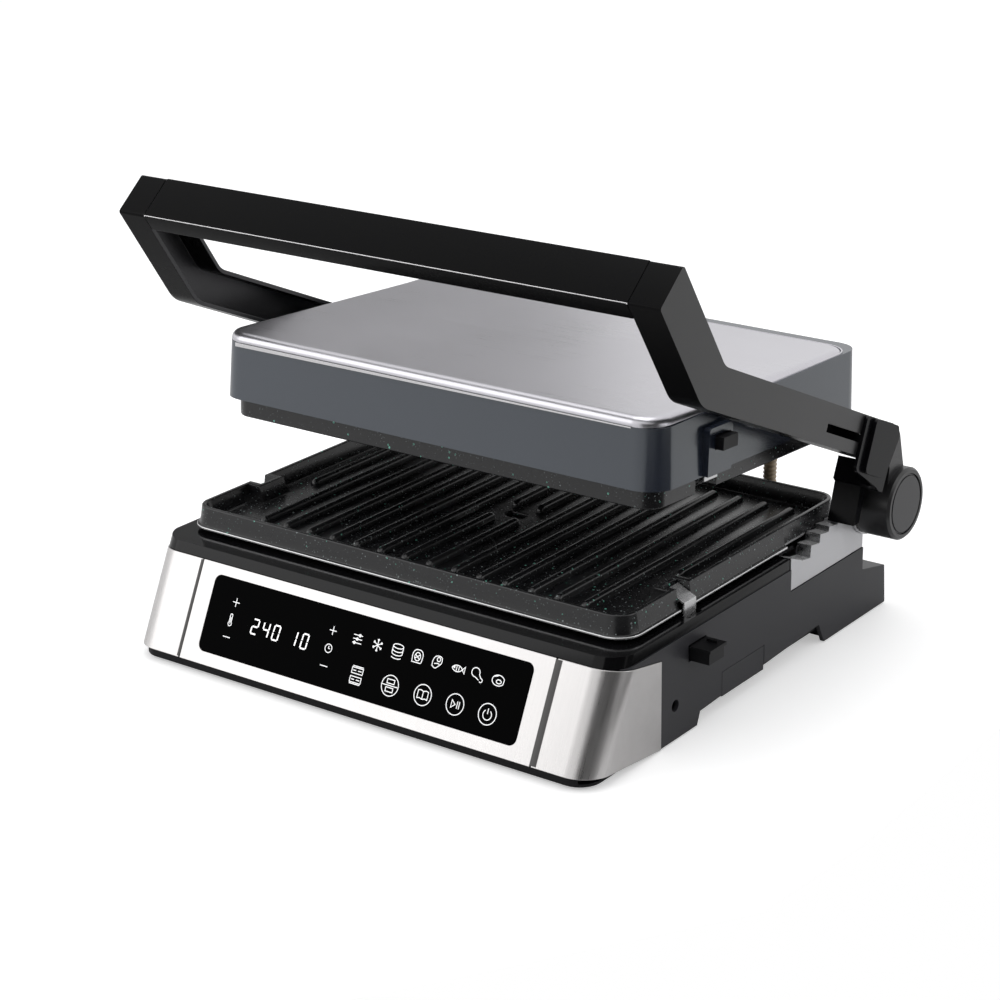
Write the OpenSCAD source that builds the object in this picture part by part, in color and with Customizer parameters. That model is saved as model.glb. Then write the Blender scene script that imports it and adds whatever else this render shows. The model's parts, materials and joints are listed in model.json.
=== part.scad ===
// Electric indoor grill: ribbed base plate, hinged floating lid on a U-shaped handle,
// height slider on a stepped bracket, and a push button that frees the lid to open flat.
// X runs to the right, Y to the back, Z up; the table is z = 0. The lid stands raised and level.

/* [Base] */
// Width of the base over its side walls
base_w = 342; // [340:1:346]
// Depth of the base from the foot of the front panel to the rear wall
base_d = 334; // [334:1:340]
// Height of the top edge of the side walls
side_z = 62.6; // [61.8:0.2:63.4]
// Height of the gloss top deck
deck_z = 69.5; // [69:0.1:69.7]
// Wall of the moulded housing
wall = 2.8; // [2.2:0.1:3]
// Lean of the front panel from upright
front_lean = 26; // [25.5:0.1:26.5]
// Outer radius of the front corners
corner_r = 18; // [15:1:20]
// Distance from each side of the base to the seam of the front panel
seam_side = 39.5; // [36:0.5:43]
// Width of the seams beside the front panel
seam_gap = 0.9; // [0.5:0.1:1.5]
// Thickness of the steel skins
steel = 1; // [0.8:0.1:1.2]
// Length of the corner trims along the sides, from the foot of the front panel
trim_back = 71; // [68:0.5:73]

/* [Touch panel] */
// Distance from each side of the base to the glass
glass_side = 52.5; // [48.5:0.5:58.5]
// Height of the glass along the slope
glass_h = 47; // [44:0.5:48]
// Thickness of the glass
glass_t = 2; // [1.6:0.1:2.2]
// Corner radius of the glass
glass_r = 4.5; // [3:0.5:7]

/* [Plates] */
// Distance from each side of the base to the lower plate's rim
plate_side = 11; // [10:0.5:14]
// Distance from the foot of the front panel to the lower plate's rim
plate_fore = 50.7; // [50.5:0.1:51.5]
// Distance from the rear wall to the lower plate's rim
plate_back = 45.7; // [45.5:0.1:49.1]
// Height of the lower plate's rim above the table
rim_z = 85.4; // [84.8:0.1:85.6]
// Height of the lower plate from rim to skirt
plate_h = 13.4; // [13:0.1:13.6]
// How far the lower plate's outer wall flares out at its foot
flare = 6; // [4:0.5:6]
// Thickness of the plates' floors
plate_t = 3.5; // [3:0.1:4]
// Width of a plate's rim
rim_w = 6; // [5:0.5:6.5]
// Number of long ribs, an even count
rib_count = 14; // [12:2:14]
// Width of a rib at its foot
rib_w = 7; // [6:0.5:8]
// Height of a rib
rib_h = 4.2; // [3.5:0.1:4.4]
// Diameter of the drain hole in the lower plate
drain_d = 14; // [10:1:16]

/* [Arms] */
// Distance from table to hinge axis
hub_z = 81; // [80.5:0.1:81.3]
// Distance from the rear wall forward to the hinge axis
hub_back = 26.3; // [25.5:0.1:27]
// Slope of the arms, down towards the back
arm_slope = 24; // [23.6:0.1:24.2]
// Width of an arm along its rear limb
arm_w = 25; // [24:0.5:26]
// Height of the rear limb's lower edge over the hinge axis
arm_b0 = 20; // [19.6:0.1:20.2]
// Distance along the table from the foot of the front panel to the arm's bend
bend_back = 68.35; // [65:0.05:72]
// Length of the front limb
limb_len = 76.5; // [70:0.5:80]
// Width of the front limb
limb_w = 29; // [27:0.5:30]
// Angle between front limb and rear limb
limb_angle = 33; // [31:0.5:35]
// Lean of the limb's end face from square
end_lean = 7; // [4:0.5:8]
// Clearance between the side of the base and an arm
arm_side = 0.8; // [0.6:0.1:1]
// Thickness of an arm from inner to outer face
arm_t = 20.2; // [19.6:0.1:21]
// Wall of an arm's channel
arm_wall = 2.5; // [2:0.1:3]
// Thickness of the handle bar
bar_t = 12.5; // [11:0.5:14]
// Radius of the hub
hub_r = 23; // [22:0.25:23]
// How far the hub and button stand out from the arm
hub_out = 5; // [4:0.5:7]
// Radius of the hinge pins
pin_r = 6; // [5:0.5:6.5]

/* [Height slider] */
// Travel of the slider along the arm
slide_travel = 44; // [40:1:44]
// Distance from the hinge axis forward to the rear end of the slot
slot_rear = 32.5; // [32:0.1:33]
// Height of the slot
slot_h = 5.2; // [4.8:0.1:5.6]
// Length of the slider's guide in the slot
guide_len = 39; // [36:0.5:39]
// Thickness of the slider's leg
leg_t = 6; // [5:0.25:6]
// Number of steps on the right bracket
steps = 6; // [6:1:6]
// Distance from step to step
step_pitch = 10.9; // [10.7:0.1:10.9]
// Reach of the step treads inward from the bracket
tread = 8; // [6:0.5:8]

/* [Lid] */
// How far the lid skirt's foot stands in from each side of the base
lid_side = 9.5; // [9:0.25:11]
// How much shallower the lid skirt is than the lower plate
lid_short = 5.6; // [3.6:0.1:9.6]
// How far the upper plate stands in from each side of the base
upper_side = 15.5; // [15:0.25:18]
// Lean of the raised lid, front up
lid_lean = 3.45; // [3.2:0.05:3.6]
// How far the skirt narrows towards its top, each side
lid_draft = 2; // [1:0.25:3]
// Wall of the lid skirt
lid_wall = 2.4; // [2:0.1:2.6]
// Radius of the lid's corners
lid_r = 17; // [14:1:19]
// Height of the skirt from foot to top at the front
skirt_h = 35.7; // [35:0.1:36]
// Radius of the pins that carry the lid
lid_pin_r = 5; // [4.5:0.25:5.5]

/* [Drip tray] */
// Width of the drip tray's end panel
tray_w = 47; // [45:0.5:48]
// Length of the drip tray
tray_len = 203; // [195:1:206]
// Wall of the drip tray
tray_wall = 1.6; // [1.2:0.1:2]

/* [Hidden] */
$fn = 48;

// Clearances: between fixed shells, between faces that meet, and between a pin and its bore
gap = 0.6;
touch = 0.3;
run = 0.05;

// Base: places from the overall size
half_w = base_w / 2;
front_y = -base_d / 2;
rear_y = base_d / 2;
seam_x = half_w - seam_side;
glass_w = base_w - 2 * glass_side;
panel_foot = 8;
panel_top = 63.4;
trim_y = front_y + trim_back;
trim_drop = 0.187;
trim_rise = 0.1;
top_edge_y = front_y + (panel_top - panel_foot) * tan(front_lean);
band_y = top_edge_y + 8;
prism_back = 330;
frame_t = 2.4;
bracket_y = rear_y - 120.5;
tower_y = rear_y - 31.3;
tower_z = 48.4;
block_z = 33.4;
block_end_z = 27;
foot_z = 1;
belly_z = 9;
belly_y0 = front_y + 112.7;
belly_y1 = rear_y - 85;
foot_y1 = rear_y - 79;
gland_x = -half_w + 53;
gland_z = 14;
pan_z = 1.8;
pan_t = 2;
inner_w = base_w - 2 * wall;
board_w = 110;
board_d = 52;
board_t = 1.6;
post_h = 4;
tower_half = half_w - 11.5;

// Plates: the lower plate lies under the raised lid
plate_w = base_w - 2 * plate_side;
plate_d = base_d - plate_fore - plate_back;
plate_front = front_y + plate_fore;
plate_y = plate_front + plate_d / 2;
floor_z = rim_z - plate_h + plate_t;
skirt_z = rim_z - plate_h;
rib_pitch = (plate_w - 61) / rib_count;
rib_y0 = plate_front + 17;
rib_y1 = plate_front + plate_d - 19;
short_rib_y0 = plate_front + 87.4;
break_y0 = plate_y - 10.8;
break_y1 = plate_y + 10.2;
well_w = plate_w - 22;
well_d = plate_d - 18;
notch_y = plate_front + 55.9;
notch_w = 20.5;
rack_y0 = bracket_y + 7.5;
boss_x = plate_w / 2 - 9;

upper_w = base_w - 2 * upper_side;
lid_clip_x = upper_w / 2 + 3.2;

// Plate release: a rocking clip beside the plate, pushed by a button in the side wall
clip_w = 12.4;
clip_y = notch_y + 3.6;
clip_x = half_w - 6.6;
clip_t = 1.2;
clip_pivot_z = 61;
clip_foot_z = 44;
button_x0 = clip_x + clip_t / 2 + 0.4;
button_out = 14;
button_y = clip_y - 1.4;
button_z = 49.5;
button_w = 17.6;
button_h = 9.2;

// Drip tray in the right side, below the drain hole
tray_y = plate_y - 9.8;
tray_z0 = 8.9;
tray_z1 = 24.4;
tray_floor_z = 12.2;
tray_rim_z = 22.8;

// Arms: a is measured along the rear limb from the hinge axis, b square to it
hub_y = rear_y - hub_back;
arm_x0 = half_w + arm_side;
arm_len = (hub_y - front_y - bend_back) / cos(arm_slope);
arm_x1 = arm_x0 + arm_t;
hub_x0 = arm_x0 + 1.5;
hub_x1 = arm_x1 + hub_out;
arm_b1 = arm_b0 + arm_w;
limb_dir = [-cos(limb_angle), sin(limb_angle)];
limb_side = [sin(limb_angle - end_lean), cos(limb_angle - end_lean)];
low_bend = [-arm_len, arm_b0];
low_tip = low_bend + limb_len * limb_dir;
high_tip = low_tip + limb_w * limb_side;
high_bend = high_tip - limb_dir * (high_tip[1] - arm_b1) / sin(limb_angle);
bar_h = limb_w * cos(end_lean);
core_t = 3;
core_y = 6;
core_z0 = limb_w / 2 - 9;
core_z1 = limb_w / 2 + 9;
pivot_b = arm_b0 + 8.9;
pivot_a = (plate_y + 27.27 - hub_y - pivot_b * sin(arm_slope)) / cos(arm_slope);
button_r = hub_r - 4;
spring_x0 = hub_x0 + 4.3;

// Slider: the guide runs in the slot, the leg stands on the steps
slot_b = arm_b0 + 10.4;
slot_a1 = -slot_rear;
slot_a0 = slot_a1 - guide_len - slide_travel - 1;
guide_a1 = slot_a1 - 0.5;
guide_a0 = guide_a1 - guide_len;
slider_x1 = arm_x1 + 2.4;
foot_gap_z = 76.4;
leg_x0 = arm_x0 - 6.8;
leg_x1 = arm_x0 + 11.2;

// Brackets: a plate outside the housing's tower, its ear round the hinge axis
bracket_t = 1.8;
bracket_x1 = arm_x0 - 1.4;
bracket_x0 = bracket_x1 - bracket_t;
ear_r = 19;
step_y0 = bracket_y + 13.3;
step_top = 75.8;
step_fall = 1.6;
step_sheet = 1.6;

// Lid: y and z are measured from the pins that carry it
lid_w = base_w - 2 * lid_side;
lid_d = plate_d - lid_short;
lid_mid = [hub_y + pivot_a * cos(arm_slope) + pivot_b * sin(arm_slope),
    hub_z - pivot_a * sin(arm_slope) + pivot_b * cos(arm_slope)];
skirt_foot = -20.6;
skirt_top = skirt_foot + skirt_h;
top_rise = 1.2;
plate_foot = -33.1;
upper_d = lid_d - 12.6;
upper_h = 14;
cover_w = lid_w - 2 * lid_draft - 1;
cover_front = -lid_d / 2 - 0.2;
cover_rear = lid_d / 2 - 11.7;
cover_top = 21.2;
cover_round = 5;
lid_clip_y = -56;
lid_clip_w = 14;
lid_notch_y = -54.8;
lid_notch_w = 23;
latch_y0 = -68.4;
latch_y1 = -43.4;
latch_x = lid_w / 2 + 3.3;
latch_z = 7.6;
latch_t = 1.6;
lid_button_y0 = -61.5;
lid_button_y1 = -46;
lid_button_z0 = -5.4;
lid_button_z1 = 2.2;

// ---- Shared shapes ----

// A rectangle with round corners, centred
module round_rect(w, d, r) {
    square([w - 2 * r, d], center = true);
    square([w, d - 2 * r], center = true);
    for (sx = [-1, 1], sy = [-1, 1])
        translate([sx * (w / 2 - r), sy * (d / 2 - r)])
            circle(r);
}

// A plate with round corners from z0 to z1
module slab(w, d, r, z0, z1, y = 0) {
    translate([0, y, z0])
        linear_extrude(z1 - z0)
            round_rect(w, d, r);
}

// A block with round corners that widens by grow on each side from its top z1 to its foot z0
module flared(w, d, r, z0, z1, grow) {
    x = w / 2;
    y = d / 2;
    along([[-x - grow, z0], [x + grow, z0], [x, z1], [-x, z1]], -y + r, y - r);
    across([[-y - grow, z0], [y + grow, z0], [y, z1], [-y, z1]], -x + r, x - r);
    for (sx = [-1, 1], sy = [-1, 1])
        translate([sx * (x - r), sy * (y - r), z0])
            cylinder(r1 = r + grow, r2 = r, h = z1 - z0);
}

// A cylinder along X from x0 to x1
module rod_x(r, x0, x1, y = 0, z = 0) {
    translate([x0, y, z])
        rotate([0, 90, 0])
            cylinder(r = r, h = x1 - x0);
}

// An outline in Y and Z, extruded along X from x0 to x1
module across(points, x0, x1) {
    translate([x0, 0, 0])
        rotate([90, 0, 90])
            linear_extrude(x1 - x0)
                polygon(points);
}

// An outline in X and Z, extruded along Y from y0 to y1
module along(points, y0, y1) {
    translate([0, y1, 0])
        rotate([90, 0, 0])
            linear_extrude(y1 - y0)
                polygon(points);
}

module box(x0, x1, y0, y1, z0, z1) {
    translate([x0, y0, z0])
        cube([x1 - x0, y1 - y0, z1 - z0]);
}

module both_sides() {
    children();
    mirror([1, 0, 0])
        children();
}

function unit(v) = v / norm(v);

// Arc that rounds the corner p between its neighbours p0 and p1
function arc_at(p0, p, p1, r, n) =
    let (u = unit(p0 - p), v = unit(p1 - p), half = acos(u * v) / 2)
    let (c = p + unit(u + v) * r / sin(half))
    let (s = p + u * r / tan(half) - c, e = p + v * r / tan(half) - c)
    let (a0 = atan2(s[1], s[0]), turn = atan2(s[0] * e[1] - s[1] * e[0], s * e))
    [for (i = [0:n]) c + r * [cos(a0 + turn * i / n), sin(a0 + turn * i / n)]];

// Outline with rounded corners from a list of [x, y, radius]
function rounded(list, n = 6) =
    let (k = len(list))
    let (p = [for (q = list) [q[0], q[1]]])
    [for (i = [0:k - 1])
        each arc_at(p[(i + k - 1) % k], p[i], p[(i + 1) % k], list[i][2], n)];

// The same outline moved inward by d; it runs anticlockwise
function inset(list, d) =
    let (k = len(list))
    let (p = [for (q = list) [q[0], q[1]]])
    [for (i = [0:k - 1])
        let (e0 = unit(p[i] - p[(i + k - 1) % k]), e1 = unit(p[(i + 1) % k] - p[i]))
        let (n0 = [-e0[1], e0[0]], n1 = [-e1[1], e1[0]])
        let (q = p[i] + d * (n0 + n1) / (1 + n0 * n1))
        let (bulge = e0[0] * e1[1] - e0[1] * e1[0] > 0)
        [q[0], q[1], bulge ? max(list[i][2] - d, 0.6) : list[i][2] + d]];

// Moves its children from arm measures (x, a, b) to their place
module on_arm() {
    translate([0, hub_y, hub_z])
        rotate([-arm_slope, 0, 0])
            children();
}

// Moves its children from lid measures to their place
module on_lid() {
    translate([0, lid_mid[0], lid_mid[1]])
        rotate([-lid_lean, 0, 0])
            children();
}

// ---- Base ----

// The leaning front of the base: an upright block with round corners, tilted back
module front_block(inset_by, back = prism_back) {
    foot_y = front_y - panel_foot * tan(front_lean);
    w = base_w + 1 - 2 * inset_by;
    translate([0, foot_y, 0])
        rotate([-front_lean, 0, 0])
            translate([0, inset_by + back / 2, -60])
                linear_extrude(300)
                    round_rect(w, back, corner_r - inset_by);
}

// Height of the steel's sloping top edge
function trim_line(y) = panel_top - (y - top_edge_y) * trim_drop;

// Space that the steel skins may fill, between their sloping top and bottom edges
module trim_zone(y1, shrink = 0) {
    run_y = y1 - front_y;
    across([[front_y - 20, panel_foot + 20 * trim_rise + shrink],
        [y1, panel_foot - run_y * trim_rise + shrink], [y1, trim_line(y1) - shrink],
        [front_y - 20, trim_line(front_y - 20) - shrink]], -base_w, base_w);
}

// Moves its children onto the leaning panel; their y runs up the slope and z outward
module on_panel() {
    mid = 31.6;
    translate([0, front_y + mid * sin(front_lean), panel_foot + mid * cos(front_lean)])
        rotate([90 - front_lean, 0, 0])
            children();
}

// Side outline of the housing, with its rear block and foot
function side_outline() = [[trim_y + touch, side_z], [bracket_y, side_z], [bracket_y, tower_z],
    [tower_y, tower_z], [tower_y, block_z], [rear_y - 2.2, block_end_z], [rear_y, foot_z],
    [foot_y1 + 1, foot_z], [belly_y1, belly_z + 5.6], [belly_y0, belly_z],
    [belly_y0 - 3.2, foot_z + 0.2], [trim_y + touch, foot_z + 0.2]];

module base_housing() {
    color("#3a3a3f")
    difference() {
        union() {
            difference() {
                across(side_outline(), -half_w, half_w);
                across([[front_y, -5], [front_y, 120], [tower_y - wall, 120],
                    [tower_y - wall, block_z - wall], [rear_y - 2.2 - wall, block_end_z - wall],
                    [rear_y - 0.4 - wall, -5]], -inner_w / 2, inner_w / 2);
            }
            box(-tower_half + 0.4, tower_half - 0.4, tower_y - wall, tower_y, block_z - wall, side_z);
            // band that carries the side walls forward over the steel
            intersection() {
                difference() {
                    front_block(0.4);
                    front_block(0.4 + wall);
                }
                across([[band_y, side_z], [band_y, trim_line(band_y) + touch],
                    [trim_y, trim_line(trim_y) + touch], [trim_y + 1, trim_line(trim_y) + touch],
                    [trim_y + 1, side_z]], -half_w, half_w);
            }
            both_sides()
                box(inner_w / 2 - 6, inner_w / 2, -12, 26, tray_z1 + 2, tray_z1 + 8);
        }
        // window of the plate button, opening of the drip tray, screw hole
        box(half_w - 6, half_w + 1, button_y - button_w / 2 - gap, button_y + button_w / 2 + gap,
            button_z - button_h / 2 - gap, button_z + button_h / 2 + gap);
        box(half_w - 8, half_w + 1, tray_y - tray_w / 2 - 0.4, tray_y + tray_w / 2 + 0.4,
            tray_z0 - 3, tray_z1 + 0.4);
        rod_x(3.6, half_w - 6, half_w + 1, trim_y + 15, 22.5);
        // rear vents and the hole of the cord gland
        for (i = [0:13])
            box(-20 + i * 9, -16.5 + i * 9, rear_y - 6, rear_y + 1, 8, 21);
        translate([gland_x, rear_y - 12, gland_z])
            rotate([-90, 0, 0])
                cylinder(r = 8.1, h = 20);
        translate([conduit[0][0], tower_y - 10, conduit[0][2]])
            rotate([-90, 0, 0])
                cylinder(r = 5.1, h = 20);
    }
}

// Floor of the base: deep behind the front and over the rear feet, raised between
module base_pan() {
    y0 = front_y + 2.6;
    y1 = rear_y - wall - 1;
    up = belly_z + 0.8;
    color("#161618")
    difference() {
        intersection() {
            slab(inner_w - 2 * gap, y1 - y0, 14, 0, 30, (y0 + y1) / 2);
            across([[y0 - 1, pan_z], [belly_y0 - 5, pan_z], [belly_y0 - 1, up], [belly_y1 + 6, up],
                [foot_y1 + 5, pan_z], [y1 + 1, pan_z], [y1 + 1, pan_z + pan_t],
                [foot_y1 + 6.2, pan_z + pan_t], [belly_y1 + 7.2, up + pan_t],
                [belly_y0 - 2.2, up + pan_t], [belly_y0 - 6.2, pan_z + pan_t],
                [y0 + pan_t, pan_z + pan_t], [y0 + pan_t, 7.2], [y0 - 1, 7.2]], -200, 200);
        }
        for (x = [-60:15:60])
            box(x - 2, x + 2, front_y + 30, front_y + 80, 0, 6);
    }
}

// Gloss deck that frames the well under the plate
module top_deck() {
    y1 = tower_y - 0.4;
    color("#0b0b0c")
    difference() {
        union() {
            intersection() {
                front_block(0.5);
                across([[front_y - 20, deck_z], [front_y - 20, deck_z - 0.1],
                    [top_edge_y, panel_top + touch], [band_y - touch, trim_line(band_y) + touch],
                    [band_y - touch, side_z + touch], [y1, side_z + touch], [y1, deck_z]],
                    -half_w + 0.6, half_w - 0.6);
            }
            intersection() {
                front_block(frame_t + steel + 1.2);
                box(-inner_w / 2 + gap, inner_w / 2 - gap, front_y, tower_y - wall - 0.4, 58, deck_z);
            }
        }
        intersection() {
            front_block(frame_t + steel + 3.6);
            box(-inner_w / 2 + gap + 2.4, inner_w / 2 - gap - 2.4, front_y, tower_y - wall - 2.6,
                50, deck_z - 2.6);
        }
        slab(well_w + 4, well_d + 4, 12, 40, 90, plate_y);
        both_sides() {
            box(tower_half - 0.2, half_w + 2, bracket_y - 1.4, rear_y, 40, 90);
            box(clip_x - 4, clip_x + 4.2, clip_y - clip_w / 2 - 1, clip_y + clip_w / 2 + 1, 40, 90);
        }
    }
    color("#0b0b0c")
    both_sides()
        for (y = [plate_y - plate_d / 2 + 24, plate_y + plate_d / 2 - 20])
            box(well_w / 2 + 3, well_w / 2 + 9, y - 6, y + 6, deck_z - 2.6, deck_z + 2.2);
}

// Moulded frame behind the steel
module front_frame() {
    color("#1c1c1e")
    difference() {
        intersection() {
            difference() {
                front_block(steel + 0.3);
                front_block(steel + 0.3 + frame_t);
            }
            trim_zone(trim_y - 0.3, 1.2);
        }
        on_panel()
            linear_extrude(12, center = true)
                round_rect(glass_w - 8, glass_h - 8, glass_r);
    }
}

module front_fascia() {
    color("#d9d9db")
    difference() {
        intersection() {
            difference() {
                front_block(0);
                front_block(steel);
            }
            trim_zone(front_y + 60);
            box(-seam_x + seam_gap / 2, seam_x - seam_gap / 2, front_y - 10, front_y + 40, 0, 90);
        }
        on_panel()
            linear_extrude(12, center = true)
                round_rect(glass_w + touch, glass_h + touch, glass_r + touch / 2);
    }
}

module corner_trim() {
    intersection() {
        difference() {
            front_block(0);
            front_block(steel);
        }
        trim_zone(trim_y);
        box(seam_x + seam_gap / 2, base_w, front_y - 10, trim_y, -5, 90);
    }
}

module corner_trim_right() {
    color("#cfcfd2")
        corner_trim();
}

module corner_trim_left() {
    color("#cfcfd2")
        mirror([1, 0, 0])
            corner_trim();
}

module touch_panel() {
    color("#070708")
    on_panel()
        translate([0, 0, -steel - 0.2])
            linear_extrude(steel + 0.5)
                round_rect(glass_w, glass_h, glass_r);
}

module panel_board() {
    depth = steel + frame_t + 2 * touch;
    color("#1f6b3a")
    on_panel()
        translate([0, 0, -depth - 1.6])
            linear_extrude(1.6)
                square([glass_w - 2, glass_h - 2], center = true);
    color("#22262a")
    on_panel()
        for (x = [-90:30:90])
            translate([x, 0, -depth - 3.8])
                linear_extrude(2.4)
                    square([12, 12], center = true);
}

// Control board on the floor behind the front panel, with its relay and transformer
module power_board() {
    z = pan_z + pan_t;
    top = z + post_h + board_t;
    x = -half_w + 21;
    y = front_y + 50;
    color("#2a6f3c")
        box(x, x + board_w, y, y + board_d, z + post_h, top);
    color("#222428") {
        box(x + 6, x + 0.29 * board_w, y + 6, y + 0.58 * board_d, top, z + 24);
        box(x + 0.38 * board_w, x + 0.56 * board_w, y + 8, y + 0.69 * board_d, top, z + 20);
        box(x + 0.65 * board_w, x + 0.91 * board_w, y + 6, y + 0.38 * board_d, top, z + 18);
    }
    color("#c8c8ca")
    for (px = [x + 4, x + board_w - 6], py = [y + 4, y + board_d - 4])
        translate([px, py, z])
            cylinder(r = 2.4, h = post_h);
}

// Heating tube: two long loops side by side, ends turned down
module heater_tube(w, d, r) {
    bend = d / 6;
    for (i = [-3:2:3])
        translate([-w / 2 + bend - 0.4, i * bend, 0])
            rotate([0, 90, 0])
                cylinder(r = r, h = w - 2 * bend + 0.8);
    for (i = [-1:1])
        mirror([i == 0 ? 1 : 0, 0, 0])
            translate([w / 2 - bend, i * 2 * bend, 0])
                intersection() {
                    rotate_extrude()
                        translate([bend, 0])
                            circle(r - 0.06);
                    box(0, 2 * bend, -2 * bend, 2 * bend, -2 * r, 2 * r);
                }
}

module lower_heater() {
    color("#6c6a66") {
        translate([0, plate_y, deck_z - 7.2])
            heater_tube(well_w - 30, well_d - 30, 3.3);
        for (x = [-60, 60], y = [-1, 1])
            box(x - 3, x + 3, plate_y + y * (well_d - 30) / 2 - 4, plate_y + y * (well_d - 30) / 2 + 4,
                deck_z - 14.6, deck_z - 9);
    }
}

module lower_reflector() {
    z0 = deck_z - 16;
    color("#b9bbbd")
    difference() {
        union() {
            slab(well_w, well_d, 10, z0, deck_z - 1, plate_y);
            slab(well_w + 14, well_d + 8, 15, deck_z - 4.2, deck_z - 3, plate_y);
        }
        slab(well_w - 3, well_d - 3, 8.5, z0 + 1.2, deck_z, plate_y);
        translate([0, (break_y0 + break_y1) / 2, z0 - 1])
            cylinder(r = drain_d / 2 + 2, h = 10);
    }
}

module lower_sensor() {
    color("#a8a49c")
    translate([34, plate_y, deck_z - 14.6]) {
        cylinder(r = 7, h = 10);
        cylinder(r = 4, h = 16.6);
    }
}

// Outline of a clip that leans against the plate's boss, in X and Z
function clip_outline() = [[boss_x + 0.5, 81.6], [boss_x + 1.7, 83.4], [clip_x + clip_t / 2, 77.6],
    [clip_x + clip_t / 2, clip_foot_z], [clip_x - clip_t / 2, clip_foot_z],
    [clip_x - clip_t / 2, 76.6], [boss_x + 1.9, 81.8], [boss_x + 1.3, 80.6]];

module plate_clip() {
    color("#c9cacc")
    difference() {
        union() {
            along(clip_outline(), clip_y - clip_w / 2, clip_y + clip_w / 2);
            translate([clip_x, clip_y + clip_w / 2, clip_pivot_z])
                rotate([90, 0, 0])
                    cylinder(r = 2.2, h = clip_w);
        }
        translate([clip_x, clip_y + 10, clip_pivot_z])
            rotate([90, 0, 0])
                cylinder(r = 1.2 + run, h = 20);
    }
}

module plate_catch_left() {
    color("#c9cacc")
    mirror([1, 0, 0])
        difference() {
            along(clip_outline(), clip_y - clip_w / 2, clip_y + clip_w / 2);
            box(0, 200, clip_y - 10, clip_y + 10, 30, clip_pivot_z - 6);
        }
    color("#c9cacc")
    mirror([1, 0, 0])
        box(clip_x - clip_t / 2, inner_w / 2 - touch, clip_y - 5, clip_y + 5, clip_pivot_z - 6,
            clip_pivot_z - 4.8);
}

module plate_button() {
    x1 = half_w + button_out;
    y0 = button_y - button_w / 2;
    y1 = button_y + button_w / 2;
    z0 = button_z - button_h / 2;
    z1 = button_z + button_h / 2;
    color("#101012") {
        box(inner_w / 2 - 0.5, x1 - 1.2, y0 + 1, y1 - 1, z0, z1 - 1.6);
        box(half_w + 0.6, x1, y0, y1, z1 - 1.8, z1);
        // rib across the middle, above and below
        box(half_w + 4, x1 - 3, button_y + 3, button_y + 5.4, z0 - 1.6, z1 + 1.6);
        // ears that hold it in the wall, and the nose that pushes the clip
        box(inner_w / 2 - 1.8, inner_w / 2 - 0.4, y0 - 2.4, y1 + 2.4, z0 - 1.4, 48);
        box(button_x0, inner_w / 2 - 1.7, clip_y - 4, clip_y + 4, z0 - 0.4, 48);
    }
}

module drip_tray() {
    y0 = tray_y - tray_w / 2 + 1;
    y1 = tray_y + tray_w / 2 - 1;
    x1 = inner_w / 2;
    x0 = half_w - tray_len;
    color("#2b2b2f")
    difference() {
        union() {
            box(x0, x1 + 0.1, y0, y1, tray_floor_z, tray_rim_z);
            box(x1 + 0.1, half_w, tray_y - tray_w / 2, tray_y + tray_w / 2, tray_z0, tray_z1);
        }
        box(x0 + tray_wall, x1 - tray_wall, y0 + tray_wall, y1 - tray_wall,
            tray_floor_z + tray_wall, tray_z1 + 1);
    }
}

// Top line of the steps, from the front of the bracket to its rear
function step_z(k) = step_top - 0.0095 * pow((steps - 1.8 - k) * step_pitch, 2)
    * (k < steps - 1 ? 1 : 0);
function nose(k) = k == 0 ? [bracket_y + touch, 69.6] : [step_y0 + (k - 1) * step_pitch, step_z(k)];
function stair(drop) = [for (k = [0:steps - 1])
    each [[nose(k)[0], nose(k)[1] - drop],
        [step_y0 + k * step_pitch - 0.8, (k == 0 ? 65 : step_z(k) - step_fall) - drop]]];

function stair_sheet() = concat(stair(0), [for (i = [2 * steps - 1:-1:0]) stair(step_sheet)[i]]);

module bracket_plate(top_line) {
    difference() {
        union() {
            across(concat([[bracket_y + touch, tower_z + touch]], top_line,
                [[hub_y - 6, hub_z + 12], [tower_y, hub_z - 10], [tower_y, tower_z + touch]]),
                bracket_x0, bracket_x1);
            rod_x(ear_r, bracket_x0, bracket_x1, hub_y, hub_z);
            box(inner_w / 2 - 2.4, inner_w / 2 - 0.6, bracket_y + 6, tower_y - wall - 2, 16, 58);
            box(inner_w / 2 - 2.4, bracket_x1, bracket_y + 6, tower_y - wall - 2, 52, 58);
        }
        rod_x(pin_r + run, bracket_x0 - 1, bracket_x1 + 1, hub_y, hub_z);
    }
}

module hinge_bracket_right() {
    color("#c2c2c6") {
        bracket_plate(stair(step_sheet / 2));
        across(stair_sheet(), bracket_x0 - tread, bracket_x1);
    }
}

module hinge_bracket_left() {
    color("#c2c2c6")
    mirror([1, 0, 0])
        bracket_plate([[bracket_y + touch, 60], [bracket_y + 30, 72], [hub_y - 30, 77]]);
}

module hinge_pins() {
    color("#9fa1a4")
    both_sides() {
        rod_x(pin_r, bracket_x0 - 1, hub_x0 + 3.7, hub_y, hub_z);
        rod_x(pin_r + 3, bracket_x0 - 3.4, bracket_x0 - touch / 2, hub_y, hub_z);
    }
}

module bracket_screws() {
    x = inner_w / 2 - 2.4;
    color("#8d8f92")
    both_sides()
        for (y = [bracket_y + 20, tower_y - 22])
            rod_x(3.4, x - 2.4, x, y, 28);
}

module base_screws() {
    color("#8d8f92")
    for (x = [-half_w + 21, half_w - 21], y = [front_y + 20, rear_y - 20])
        translate([x, y, pan_z + pan_t])
            cylinder(r = 3.2, h = 3);
}

module cord_gland() {
    color("#141416")
    translate([gland_x, rear_y - 10, gland_z])
        rotate([-90, 0, 0])
            difference() {
                union() {
                    cylinder(r = 8, h = 9.4);
                    cylinder(r = 9.6, h = 3.4);
                }
                translate([0, 0, -1])
                    cylinder(r = 3.8, h = 12);
            }
}

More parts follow.
